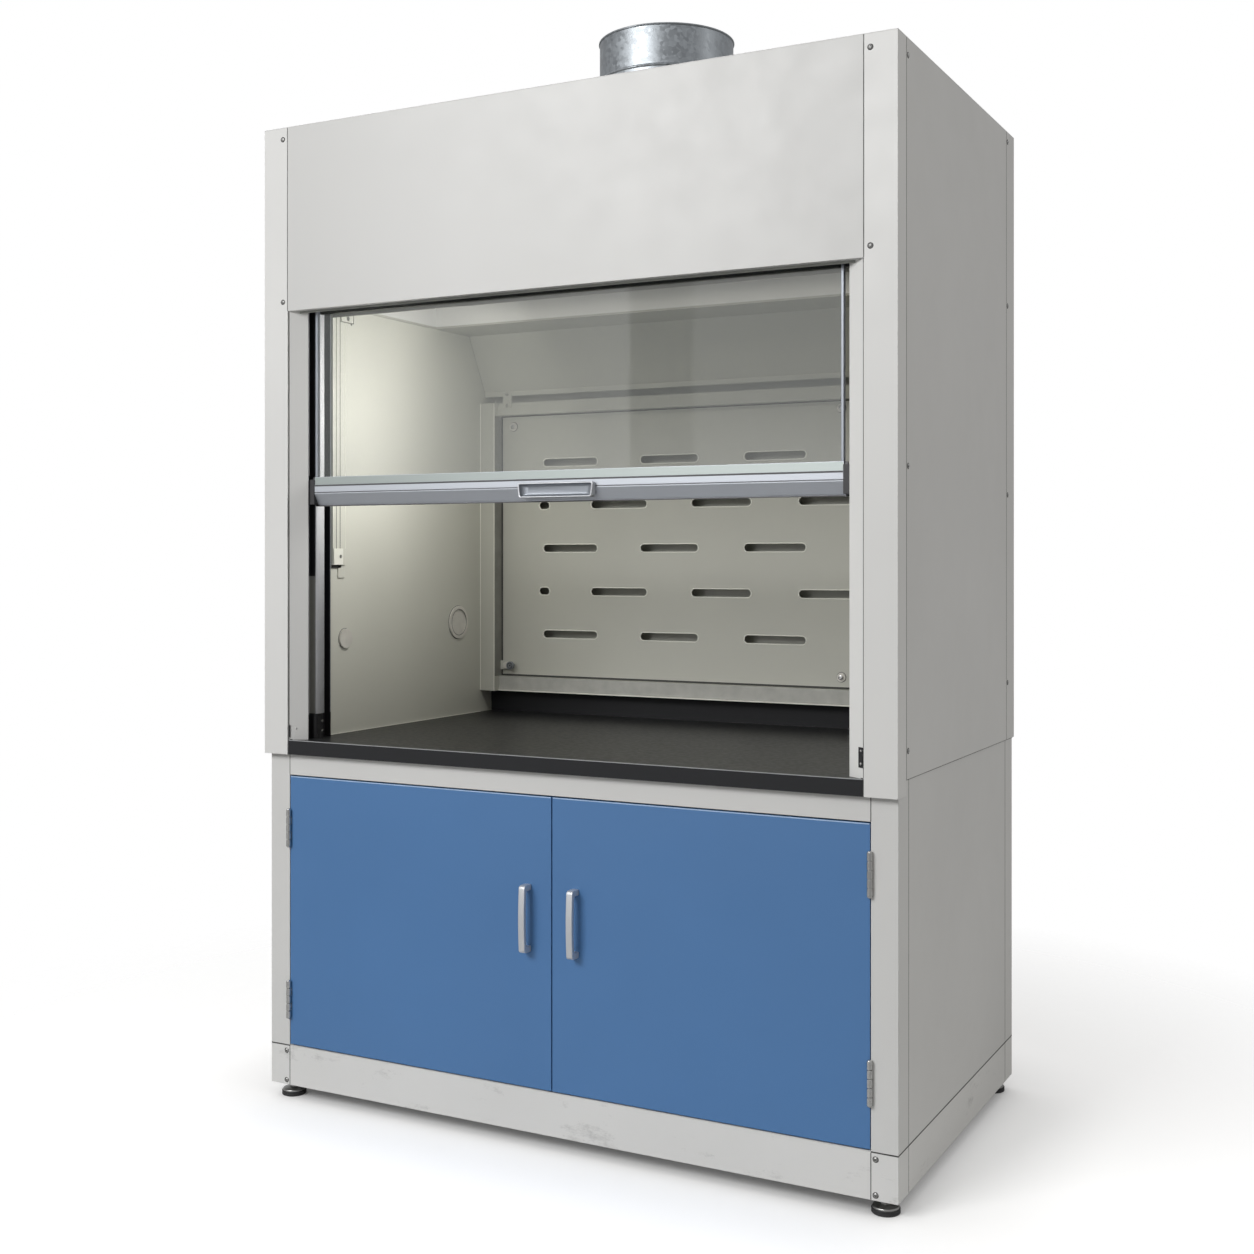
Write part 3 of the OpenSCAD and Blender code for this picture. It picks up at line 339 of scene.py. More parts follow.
def insert_plastic():
    """Black liner of the tracks, with a grey cover in the lower half of the front channel."""
    material, tree, shader = new_material("track plastic")
    above = place_mask(tree, "Z", 0.876, 0.878)
    below = place_mask(tree, "Z", 1.192, 1.190)
    front = place_mask(tree, "Y", Y_FRONT + 0.054, Y_FRONT + 0.053)
    covered = mix(tree, 1.0, mix(tree, 1.0, above, below, "MULTIPLY"), front, "MULTIPLY")
    dark, cover = (0.018, 0.018, 0.020), (0.27, 0.27, 0.255)
    tree.links.new(mix(tree, covered, dark, cover), shader.inputs["Base Color"])
    shader.inputs["Roughness"].default_value = 0.42
    return material


MATERIALS["insert_plastic"] = insert_plastic()


def dress_frame():
    for part in frame["record"]["subparts"]:
        name = DRESSED.get(part["node"], part["material_slot"])
        material = MATERIALS[name]
        for spot in NODES[part["node"]].material_slots:
            spot.material = material


# Mesh building

def add_piece(name, bm, slot, body="root", material=None, smooth=False):
    """Makes an object of the mesh, which rides its body and takes its slot's finish or the one named."""
    mesh = bpy.data.meshes.new(name)
    bm.to_mesh(mesh)
    bm.free()
    for face in mesh.polygons:
        face.use_smooth = smooth
    if smooth:
        mesh.set_sharp_from_angle(angle=math.radians(42))
    piece = bpy.data.objects.new(name, mesh)
    bpy.context.collection.objects.link(piece)
    piece.data.materials.append(MATERIALS[material or slot])
    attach(piece, body)
    return piece


def rounded(bm, radius, segments=2, angle=50.0):
    """Rounds every edge sharper than the angle."""
    sharp = [e for e in bm.edges if len(e.link_faces) == 2 and e.calc_face_angle(0) > math.radians(angle)]
    bmesh.ops.bevel(bm, geom=sharp, offset=radius, segments=segments, profile=0.6, affect="EDGES",
                    clamp_overlap=True)


def add_box(bm, low, high):
    """Box between its low and its high corner."""
    made = bmesh.ops.create_cube(bm, size=1.0)
    for vert in made["verts"]:
        vert.co = Vector([low[i] + (vert.co[i] + 0.5) * (high[i] - low[i]) for i in range(3)])


def lathe(bm, profile, middle, axis, steps=32):
    """Turns a profile of (radius, distance along the axis) points about an axis through middle."""
    axis = Vector(axis)
    side = axis.orthogonal().normalized()
    other = axis.cross(side)
    rings = []
    for radius, along in profile:
        centre = middle + axis * along
        if radius < 1e-6:
            rings.append([bm.verts.new(centre)])
            continue
        rings.append([bm.verts.new(centre + side * radius * math.cos(a) + other * radius * math.sin(a))
                      for a in (2 * math.pi * k / steps for k in range(steps))])
    for first, second in zip(rings, rings[1:]):
        for k in range(steps):
            corners = [first[k % len(first)], first[(k + 1) % len(first)],
                       second[(k + 1) % len(second)], second[k % len(second)]]
            unique = list(dict.fromkeys(corners))
            if len(unique) > 2:
                bm.faces.new(unique)


def round_outline(half_w, half_h, radius, steps=6):
    """Points of a rounded rectangle, going round once."""
    points = []
    for sx, sy, start in ((1, 1, 0), (-1, 1, 90), (-1, -1, 180), (1, -1, 270)):
        for k in range(steps + 1):
            a = math.radians(start + 90 * k / steps)
            points.append((sx * (half_w - radius) + radius * math.cos(a),
                           sy * (half_h - radius) + radius * math.sin(a)))
    return points


def cross_head(bm, middle, outward, radius, height, turn):
    """Domed screw head with a cross recess sunk into its crown."""
    outward = Vector(outward).normalized()
    side = outward.orthogonal().normalized()
    other = outward.cross(side)
    shares = [0.0, 0.10, 0.18, 0.26, 0.34, 0.42, 0.50, 0.56, 0.62, 0.72, 0.84, 0.94, 1.0, 1.0]
    slot_half, slot_reach, slot_depth, dome = 0.115, 0.60, 0.55, 0.62
    steps = 40
    rings = []
    for n, share in enumerate(shares):
        seated = n == len(shares) - 1
        ring = []
        for k in range(1 if n == 0 else steps):
            a = 2 * math.pi * k / steps
            u, v = share * math.cos(a), share * math.sin(a)
            rise = 0.0 if seated else 1 - dome * share ** 2.4
            if min(abs(u), abs(v)) < slot_half and share < slot_reach:
                rise -= slot_depth
            across = u * math.cos(turn) - v * math.sin(turn)
            upward = u * math.sin(turn) + v * math.cos(turn)
            ring.append(bm.verts.new(Vector(middle) + (side * across + other * upward) * radius
                                     + outward * rise * height))
        rings.append(ring)
    for first, second in zip(rings, rings[1:]):
        for k in range(steps):
            corners = [first[k % len(first)], first[(k + 1) % len(first)], second[(k + 1) % steps], second[k]]
            bm.faces.new(list(dict.fromkeys(corners)))


def loft(bm, rings):
    """Joins closed rings of points with faces, and gives the rings' vertices."""
    made = [[bm.verts.new(point) for point in ring] for ring in rings]
    for first, second in zip(made, made[1:]):
        for k in range(len(first)):
            far = (k + 1) % len(first)
            bm.faces.new([first[k], first[far], second[far], second[k]])
    return made


def prism(bm, outline, z):
    """Upright prism over an outline of (width, depth) points."""
    rings = loft(bm, [[at(x, d, height) for x, d in outline] for height in z])
    bm.faces.new(list(reversed(rings[0])))
    bm.faces.new(rings[1])


def plate(bm, side, x, d, z):
    """Box given for the right side, mirrored where side is -1."""
    edges = sorted((side * x[0], side * x[1]))
    add_box(bm, tuple(at(edges[0], d[0], z[0])), tuple(at(edges[1], d[1], z[1])))


def bar(bm, half, d, z):
    """Box across the hood, reaching half to either side."""
    plate(bm, 1, (-half, half), d, z)


def islands(name, weld=True):
    """Boxes of a node's solids, or without weld of its smooth patches: each a low and a high corner."""
    bm = bmesh.new()
    bm.from_mesh(NODES[name].data)
    if weld:
        bmesh.ops.remove_doubles(bm, verts=bm.verts, dist=1e-5)
    bm.verts.ensure_lookup_table()
    left = set(range(len(bm.verts)))
    boxes = []
    while left:
        queue = [left.pop()]
        found = []
        while queue:
            vert = bm.verts[queue.pop()]
            found.append(NODES[name].matrix_world @ vert.co)
            for edge in vert.link_edges:
                far = edge.other_vert(vert).index
                if far in left:
                    left.remove(far)
                    queue.append(far)
        boxes.append((Vector([min(p[i] for p in found) for i in range(3)]),
                      Vector([max(p[i] for p in found) for i in range(3)])))
    bm.free()
    return boxes


# Panel screws: domed heads, each with a dark ring round its seat as painted shadow

def panel_screws():
    bm = bmesh.new()
    rings = bmesh.new()
    for n, (low, high) in enumerate(islands("panel_screws")):
        middle = (low + high) / 2
        if abs(middle.x) > 0.735:
            side = 1 if middle.x > 0 else -1
            seat, outward = Vector((side * CASE_HALF, middle.y, middle.z)), (side, 0, 0)
        else:
            seat, outward = Vector((middle.x, low.y + 0.0023, middle.z)), (0, -1, 0)
        cross_head(bm, seat, outward, 0.0044, 0.0022, 0.3 + n)
        # Painted shadow: a dark flat ring round each head's seat
        lathe(rings, [(0.0042, 0.0005), (0.0058, 0.0005), (0.0060, 0.0), (0.0042, 0.0)], seat, outward, 32)
    piece = add_piece("screw_heads", bm, "bright_steel", material="screw_steel", smooth=True)
    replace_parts(piece, "panel_screws")
    add_piece("screw_seat_shadows", rings, "black_plastic", material="joint_shadow")


# Door handles: a slightly bowed bar with square-shouldered feet

def bow_handle(side):
    cad = f"{side}_door_handle"
    low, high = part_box(cad)
    middle_x = (low.x + high.x) / 2
    middle_z = (low.z + high.z) / 2
    reach = (high.y - low.y) * 0.82
    half = (high.z - low.z) / 2 - 0.0025
    thick, foot, shoulder, fillet = 0.0085, 0.0125, 0.0075, 0.0065
    half_width = 0.0072

    def bow(z):
        return reach * (0.90 + 0.10 * math.cos(z / half * math.pi / 2))

    def arc(centre_z, centre_d, radius, start, stop):
        return [(centre_z + radius * math.cos(math.radians(a)), centre_d + radius * math.sin(math.radians(a)))
                for a in (start + (stop - start) * k / 6 for k in range(7))]

    spans = [k / 12 for k in range(-11, 12)]
    outer_end, inner_end = half - shoulder, half - foot - fillet
    outer = [(half, 0.0)] + arc(outer_end, bow(outer_end) - shoulder, shoulder, 0, 90)
    outer += [(-k * outer_end, bow(k * outer_end)) for k in spans]
    outer += arc(-outer_end, bow(outer_end) - shoulder, shoulder, 90, 180) + [(-half, 0.0)]
    inner = [(-half + foot, 0.0)] + arc(-inner_end, bow(inner_end) - thick - fillet, fillet, 180, 90)
    inner += [(k * inner_end, bow(k * inner_end) - thick) for k in spans]
    inner += arc(inner_end, bow(inner_end) - thick - fillet, fillet, 90, 0) + [(half - foot, 0.0)]
    bm = bmesh.new()
    outline = [bm.verts.new((middle_x - half_width, high.y - d, middle_z + z)) for z, d in outer + inner]
    face = bm.faces.new(outline)
    pulled = bmesh.ops.extrude_face_region(bm, geom=[face])
    moved = [v for v in pulled["geom"] if isinstance(v, bmesh.types.BMVert)]
    bmesh.ops.translate(bm, verts=moved, vec=(2 * half_width, 0, 0))
    bmesh.ops.recalc_face_normals(bm, faces=bm.faces)
    rounded(bm, 0.0013, segments=3)
    piece = add_piece(f"{side}_bow_handle", bm, "anodised", f"{side}_door", "handle_metal", smooth=True)
    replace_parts(piece, cad)


# Sash: the pull's rounded frame and pocket, the stiles' narrow bars and the clip along the rail

def pull_frame():
    low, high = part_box("sash_grip")
    middle = (low + high) / 2
    half_w = (high.x - low.x) / 2
    half_h = (high.z - low.z) / 2
    shift, narrow, flare = 0.0050, 0.945, 0.022
    # Each ring: inset at the ends, inset above and below, corner radius and depth behind the frame's face
    steps = [(0, 0, 0.0050, 0.0150), (0, 0, 0.0050, 0.0024), (0.0005, 0.0005, 0.0045, 0.0007),
             (0.0014, 0.0014, 0.0040, 0), (0.0030, 0.0024, 0.0040, 0), (0.0042, 0.0030, 0.0036, 0.0006),
             (0.0046, 0.0033, 0.0032, 0.0020), (0.0056, 0.0040, 0.0030, 0.0070),
             (0.0090, 0.0060, 0.0030, 0.0102), (0.0200, 0.0090, 0.0020, 0.0116)]
    inner_lip = 6
    lines = [[(middle.x + shift + u * (narrow + flare * v / half_h), low.y + y, middle.z + v)
              for u, v in round_outline(half_w - a, half_h - b, r)] for a, b, r, y in steps]
    bm = bmesh.new()
    loft(bm, lines[:inner_lip + 1])
    piece = add_piece("pull_frame", bm, "anodised", "sash", "handle_metal", smooth=True)
    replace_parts(piece, "sash_grip")
    bm = bmesh.new()
    rings = loft(bm, lines[inner_lip:])
    bm.faces.new(rings[-1])
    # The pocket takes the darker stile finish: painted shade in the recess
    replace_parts(add_piece("pull_pocket", bm, "anodised", "sash", "stile_metal", smooth=True), "sash_grip")


def stile_bars():
    """The narrow bars that show of the stiles at the pane's sides."""
    low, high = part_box("sash_stiles")
    inner_edge = 0.6264
    bm = bmesh.new()
    for side in (-1, 1):
        edges = sorted((side * inner_edge, side * high.x))
        add_box(bm, (edges[0], low.y, low.z), (edges[1], high.y, high.z))
    rounded(bm, 0.0012)
    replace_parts(add_piece("stile_bars", bm, "anodised", "sash", "stile_metal"), "sash_stiles")


def rail_bands():
    """The clip that holds the pane's foot, and the shadows under it and along the rail's grooves."""
    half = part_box("sash_rail")[1].x - 0.0008
    clip = [(0.0323, 1.3982), (0.0338, 1.4150), (0.0344, 1.4157), (0.0346, 1.3982)]
    bm = bmesh.new()
    ends = loft(bm, [[at(x, d, z) for d, z in clip] for x in (-half, half)])
    for corners in ends:
        bm.faces.new(corners)
    bmesh.ops.recalc_face_normals(bm, faces=bm.faces)
    add_piece("rail_clip", bm, "anodised", "sash", "clip_metal")
    bm = bmesh.new()
    for d, z in (((0.0317, 0.0330), (1.3946, 1.3980)), ((0.0318, 0.0330), (1.3798, 1.3812)),
                 ((0.0450, 0.0462), (1.3496, 1.3520))):
        bar(bm, half, d, z)
    add_piece("rail_shadow", bm, "black_plastic", "sash", "pulley_plastic")


# Levelling feet: rubber base, pressed metal disc, lock nut and threaded stem

def levelling_foot(name):
    low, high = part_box(name)
    middle = Vector(((low.x + high.x) / 2, (low.y + high.y) / 2, 0))
    radius = (high.x - low.x) / 2
    up = (0, 0, 1)
    rubber = [(0.95, 0), (1, 0.0012), (1, 0.0040), (0.975, 0.0046), (0.975, 0.0066), (1, 0.0072), (1, 0.0092),
              (0.96, 0.0102)]
    disc = [(0.93, 0.0100), (0.94, 0.0118), (0.90, 0.0136), (0.70, 0.0150), (0.42, 0.0158), (0, 0.0160)]
    nut = [(0.0086, 0.0158), (0.0095, 0.0164), (0.0095, 0.0204), (0.0086, 0.0212)]
    root, crest, pitch = 0.0042, 0.0050, 0.0013
    bm = bmesh.new()
    lathe(bm, [(0, 0)] + [(radius * share, z) for share, z in rubber] + [(0, 0.0102)], middle, up, 56)
    base = add_piece(f"{name}_base", bm, "foot_rubber", name, smooth=True)
    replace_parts(base, name)
    bm = bmesh.new()
    lathe(bm, [(radius * share, z) for share, z in disc], middle, up, 56)
    lathe(bm, [(0, 0.0158)] + nut + [(0, 0.0212)], middle, up, 6)
    thread = [(0, 0.0210)]
    for k in range(10):
        thread += [(root, 0.0211 + k * pitch), (crest, 0.0217 + k * pitch)]
    lathe(bm, thread + [(root, 0.0344), (root, high.z), (0, high.z)], middle, up, 24)
    top = add_piece(f"{name}_disc", bm, "bright_steel", name, "screw_steel", smooth=True)
    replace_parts(top, name)


# Hinges: rounded knuckles with a gap between them, pin heads and a leaf behind the barrel

# The photo shows the hinges lower on the left and higher on the right than the solids have them
HINGE_SHIFT = {-1: -0.008, 1: 0.015}


def barrel_hinge(cad, body, knuckles):
    """The knuckles of one half. The half with three of them carries the pin, and the other half is bored."""
    with_pin = len(knuckles) == 3
    radius, edge, gap, bore_radius, pin_radius = 0.0055, 0.0007, 0.0005, 0.0031, 0.0028
    shown_share, foot_share = 0.93, 0.035
    bm = bmesh.new()
    for low, high in islands(cad):
        side = 1 if low.x > 0 else -1
        length = (high.z - low.z) * shown_share
        foot = low.z + (high.z - low.z) * foot_share + HINGE_SHIFT[side]
        tall = length / 5
        axis = at(side * 0.691, 0.0125, 0)
        outward = side if with_pin else -side
        for k in knuckles:
            a, b = k * tall + gap, (k + 1) * tall - gap
            rim = [(radius - edge, a), (radius, a + edge), (radius, b - edge), (radius - edge, b)]
            if with_pin:
                profile = [(0, a)] + rim + [(0, b)]
            else:
                profile = [(bore_radius, a)] + rim + [(bore_radius, b), (bore_radius, a)]
            lathe(bm, profile, axis + Vector((0, 0, foot)), (0, 0, 1), 28)
            edges = sorted((axis.x + outward * 0.0010, axis.x + outward * 0.0052))
            add_box(bm, (edges[0], axis.y + 0.0040, foot + a), (edges[1], axis.y + 0.0054, foot + b))
        if with_pin:
            cap = [(radius - 0.0012, 0), (radius - 0.0014, 0.0010), (0.0026, 0.0022), (0, 0.0025)]
            lathe(bm, cap, axis + Vector((0, 0, foot + length - 0.0006)), (0, 0, 1), 24)
            lathe(bm, cap, axis + Vector((0, 0, foot + 0.0006)), (0, 0, -1), 24)
            pin = [(0, 0.001), (pin_radius, 0.001), (pin_radius, length - 0.001), (0, length - 0.001)]
            lathe(bm, pin, axis + Vector((0, 0, foot)), (0, 0, 1), 16)
    bmesh.ops.recalc_face_normals(bm, faces=bm.faces)
    piece = add_piece(f"{cad}_barrels", bm, "bright_steel", body, "hinge_steel", smooth=True)
    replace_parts(piece, cad)


# Splayed jambs: each runs inwards and back from its start beside the front post

JAMB_START = (0.6828, 0.003)
JAMB_RUN = (0.0363, 0.025)
JAMB_RISE = (0.8215, 1.7915)


def jamb_strip(bm, side, share, half, proud, z):
    """Strip along the splayed jamb: share counts from the post to the opening."""
    width, depth = JAMB_RUN
    length = math.hypot(width, depth)
    along = (-width / length, depth / length)
    out = (-depth / length, -width / length)
    middle = (JAMB_START[0] - width * share, JAMB_START[1] + depth * share)
    corners = [(middle[0] + along[0] * a + out[0] * b, middle[1] + along[1] * a + out[1] * b)
               for a, b in ((-half, -0.0004), (half, -0.0004), (half, proud), (-half, proud))]
    prism(bm, [(side * x, d) for x, d in corners], z)


def jamb_brackets():
    """A thin bracket low on the left jamb, seen edge on, and a broad one on the right."""
    bm = bmesh.new()
    jamb_strip(bm, -1, 0.050, 0.0016, 0.0016, (0.8260, 0.8530))
    jamb_strip(bm, 1, 0.185, 0.0062, 0.0016, (0.8405, 0.8785))
    rounded(bm, 0.0006)
    add_piece("jamb_brackets", bm, "black_plastic")


# Joint lines: dark skins just proud of the faces where two pieces meet, with painted shadow under and behind
# the edges beside them

LINE_HALF, LINE_PROUD, LINE_SUNK = 0.00085, 0.00015, 0.0004


def casing_lines(bm, side):
    """Between the posts, panels, skirts and corner pieces, with a painted shadow under the hood's side where
    it stands out over the base.
    """
    post_edge, corner_edge = 0.6840, 0.6917
    for x, d, z in ((post_edge, 0.0, (1.7925, 2.2075)), (corner_edge, BASE_FRONT, (0.7395, 0.7870)),
                    (corner_edge, BASE_FRONT, (0.0325, PLINTH_GAP[0]))):
        plate(bm, side, (x - LINE_HALF, x + LINE_HALF), (d - LINE_PROUD, d + LINE_SUNK), z)
    skin = (BASE_FRONT - LINE_PROUD, BASE_FRONT + LINE_SUNK)
    plate(bm, side, (0.692, BASE_HALF + LINE_PROUD), skin, PLINTH_GAP)
    for half, d, z in ((CASE_HALF, 0.0513, (0.8175, 2.2070)), (CASE_HALF, 0.7917, (0.8175, 2.2070)),
                       (BASE_HALF, 0.0803, (0.0325, 0.8150)), (BASE_HALF, 0.7977, (0.0325, 0.8150))):
        plate(bm, side, (half - LINE_SUNK, half + LINE_PROUD), (d - LINE_HALF, d + LINE_HALF), z)
    plate(bm, side, (BASE_HALF - LINE_SUNK, BASE_HALF + LINE_PROUD), (BASE_FRONT, 0.860), PLINTH_GAP)
    plate(bm, side, (BASE_HALF - LINE_SUNK, BASE_HALF + 0.0020), (0.052, 0.858), (0.8146, 0.8172))


def jamb_lines(bm, side):
    """A line along the jamb's face, one at its edge by the post, and a painted shadow at its foot on the
    worktop.
    """
    jamb_strip(bm, side, 0.34, 0.0014, LINE_PROUD, JAMB_RISE)
    jamb_strip(bm, side, 0.015, 0.0010, LINE_PROUD, JAMB_RISE)
    jamb_strip(bm, side, 0.50, 0.0205, 0.0002, (0.8201, 0.8216))


def trim_lines(bm, side):
    """Painted shadow beside the liner's trims: on the strip, behind it, under its clip and round the upper
    bracket.
    """
    strip_face, bracket_face, liner_face = (0.6537, 0.6541), (0.6507, 0.6511), (0.6590, 0.6601)
    for x, d, z in ((strip_face, (0.1372, 0.1386), TRIM_RISE), (strip_face, (0.1512, 0.1528), TRIM_RISE),
                    (liner_face, (0.1732, 0.1752), (1.2160, TRIM_RISE[1])),
                    (bracket_face, (0.1540, 0.2000), (1.7860, 1.7874)),
                    (bracket_face, (0.1984, 0.2000), (1.7860, 1.8200)),
                    (liner_face, (0.2000, 0.2040), (1.7840, TRIM_RISE[1])),
                    ((0.6570, 0.6590), (0.1262, 0.1600), (1.2090, 1.2158))):
        plate(bm, side, x, d, z)


def joint_lines():
    bm = bmesh.new()
    foot, top = BAFFLE_RISE
    inner, skin = 0.6110, (0.7960, 0.7972)
    for side in (-1, 1):
        casing_lines(bm, side)
        jamb_lines(bm, side)
        plate(bm, side, (inner, 0.6150), skin, BAFFLE_RISE)
        trim_lines(bm, side)
    bar(bm, inner, skin, (foot, foot + 0.0042))
    bar(bm, inner, skin, (top - 0.0026, top))
    add_piece("joint_lines", bm, "black_plastic", material="joint_shadow")


# Painted highlights and painted shade on edges and faces that the solids leave plain

def trim_edges():
    """Painted highlights: pale edges of the liner's trims, of the baffle's frame and along the worktop joint.
    """
    strip_edge = (0.6535, 0.6541)
    bm = bmesh.new()
    for side in (-1, 1):
        for x, d, z in (((0.6512, 0.6541), (0.1262, 0.1600), (1.2165, 1.2545)),
                        (strip_edge, (0.1262, 0.1285), TRIM_RISE), (strip_edge, (0.1710, 0.1728), TRIM_RISE),
                        ((0.6585, 0.6601), (0.1260, 0.7595), (0.8202, 0.8222)),
                        ((0.6150, 0.6174), (0.7595, 0.7602), (0.8780, 1.6465)),
                        ((0.6578, LINER_HALF), (0.7595, 0.7602), (0.8780, 1.6465))):
            plate(bm, side, x, d, z)
    bar(bm, BAFFLE_HALF, (0.7768, 0.7775), (0.8772, 0.8800))
    add_piece("trim_edges", bm, "painted_inside", material="highlight_paint")


def frame_shade():
    """The shaded inner faces of the baffle's frame."""
    bm = bmesh.new()
    for side in (-1, 1):
        plate(bm, side, (0.6147, 0.6152), (0.7620, 0.7960), (0.9165, 1.6130))
    add_piece("frame_shade", bm, "painted_inside", material="shade_paint")


def long_edges():
    """Across the hood: painted shade on the ledge under the baffle, on the opening's lip, on the worktop's
    front and on its upstand, and a painted highlight along the worktop's edge.
    """
    opening, worktop = 0.6820, 0.6810
    for name, slot, finish, bars in (
            ("lower_ledge_shade", "painted_inside", "ledge_shade_paint",
             [(BAFFLE_HALF, (0.7846, 0.7853), (0.8805, 0.9155))]),
            ("opening_lip_shade", "painted_body", "lip_shade_paint",
             [(opening, (0.0165, 0.0178), (1.7872, 1.7921))]),
            ("worktop_edge_highlight", "worktop_resin", "resin_edge_highlight",
             [(worktop, (0.0018, 0.0030), (0.8184, 0.8201))]),
            ("worktop_front_shade", "worktop_resin", "resin_front_shade",
             [(worktop, (0.00185, 0.0030), (0.7880, 0.8182)), (0.6590, (0.8148, 0.8160), (0.8205, 0.8815))])):
        bm = bmesh.new()
        for half, d, z in bars:
            bar(bm, half, d, z)
        add_piece(name, bm, slot, material=finish)


def door_edge(hand):
    """Painted highlight: a pale line along the door's top edge."""
    low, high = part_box(f"{hand}_door")
    inset = 0.001
    bm = bmesh.new()
    add_box(bm, (low.x + inset, low.y - LINE_PROUD, high.z - 0.0024),
            (high.x - inset, low.y + 0.001, high.z - 0.0003))
    add_piece(f"{hand}_door_edge", bm, "blue_paint", f"{hand}_door", "door_edge")


def small_screws():
    """Screws of the tracks' feet, the jamb brackets, the liner's trims and the baffle."""
    bm = bmesh.new()
    for side in (-1, 1):
        inward = (-side, 0, 0)
        for z in (0.836, 0.858):
            cross_head(bm, at(side * TRACK_HALF, 0.0770, z), inward, 0.0030, 0.0010, 0.5)
        off_jamb = (-side * 0.567, -0.823, 0)
        places = [(0.6761, 0.0053, z) for z in (0.8475, 0.8720)] if side > 0 else [(-0.6690, 0.0120, 0.8455)]
        for place in places:
            cross_head(bm, at(*place), off_jamb, 0.0026, 0.0010, 0.9)
        cross_head(bm, at(side * 0.6512, 0.1510, 1.236), inward, 0.0042, 0.0014, 1.1)
        for z in (1.797, 1.811):
            cross_head(bm, at(side * 0.6510, 0.178, z), inward, 0.0055, 0.0030, 0.7 + z)
    for low, high in islands("baffle_fixings"):
        radius = 0.0058 if high.x - low.x > 0.010 else 0.0034
        cross_head(bm, ((low.x + high.x) / 2, low.y, (low.z + high.z) / 2), (0, -1, 0), radius, 0.0016, low.x)
    add_piece("small_screws", bm, "bright_steel", smooth=True)


def track_noses():
    """Rounded nose of each track between its channels, coloured near white as a painted highlight."""
    root, shoulder, bulge, middle, half_depth = 0.6470, 0.6466, 0.0048, 0.0687, 0.0147
    nose = [(root, middle - half_depth)]
    nose += [(shoulder - bulge * math.sin(a), middle - half_depth * math.cos(a))
             for a in (math.pi * k / 16 for k in range(17))]
    nose += [(root, middle + half_depth)]
    bm = bmesh.new()
    for side in (-1, 1):
        prism(bm, [(side * x, d) for x, d in (nose if side < 0 else nose[::-1])], (0.8765, 2.1190))
    bmesh.ops.recalc_face_normals(bm, faces=bm.faces)
    piece = add_piece("track_noses", bm, "anodised", material="track_highlight_metal")
    for face in piece.data.polygons:
        face.use_smooth = abs(face.normal.z) < 0.5


def slot_rim_highlights():
    """Painted highlights round the baffle's slots, found from the flat patches at the slots' tops and feet.
    """
    front = at(0, BAFFLE_FACE, 0).y
    longest_slot, lowest, highest = 0.30, 0.93, 1.60
    ends = {}
    for low, high in islands("baffle_panel", weld=False):
        if high.z - low.z < 0.0002 and high.x - low.x < longest_slot and lowest < low.z < highest:
            ends.setdefault((round(low.x, 4), round(high.x, 4)), []).append(low.z)
    half_turn = [math.pi * k / 12 for k in range(13)]
    bm = bmesh.new()
    for (x0, x1), levels in ends.items():
        levels.sort()
        for bottom, top in zip(levels[::2], levels[1::2]):
            radius, middle = (top - bottom) / 2, (top + bottom) / 2
            rings = []
            for grown, lift in ((-0.0001, -0.0006), (0.0002, 0.0005), (0.0022, 0.0005), (0.0026, 0.0)):
                reach = radius + grown
                turn = [(x1 + reach * math.sin(a), middle + reach * math.cos(a)) for a in half_turn]
                turn += [(x0 - reach * math.sin(a), middle - reach * math.cos(a)) for a in half_turn]
                rings.append([(x, front - lift, z) for x, z in turn])
            loft(bm, rings)
    bmesh.ops.recalc_face_normals(bm, faces=bm.faces)
    add_piece("slot_rim_highlights", bm, "painted_inside", material="highlight_paint")


def flat_ring(bm, middle, axis, inner, outer, proud, steps):
    lathe(bm, [(inner, 0.0), (inner, proud), (outer, proud), (outer, 0.0)], middle, axis, steps)


def fitting_outlines():
    """Thin shadow rings round the plug, the access cover and the baffle's washers."""
    plug, cover = (0.1770, 1.0430), (0.6530, 1.0640)
    bm = bmesh.new()
    for x, (d, z), inner, outer in ((-LINER_HALF, plug, 0.0229, 0.0241), (-LINER_HALF, cover, 0.0424, 0.0438),
                                    (-0.6560, cover, 0.0332, 0.0344)):
        flat_ring(bm, at(x, d, z), (1, 0, 0), inner, outer, 0.0003, 48)
    for low, high in islands("baffle_fixings"):
        if high.x - low.x > 0.010:
            middle = Vector(((low.x + high.x) / 2, at(0, BAFFLE_FACE, 0).y, (low.z + high.z) / 2))
            flat_ring(bm, middle, (0, -1, 0), 0.0110, 0.0124, 0.0004, 40)
    add_piece("fitting_outlines", bm, "black_plastic", material="pulley_plastic")


# Baffle latch: a round knob with painted shade in its two grooves, and a wing behind it

LATCH_X, LATCH_Z = -0.577, 0.945


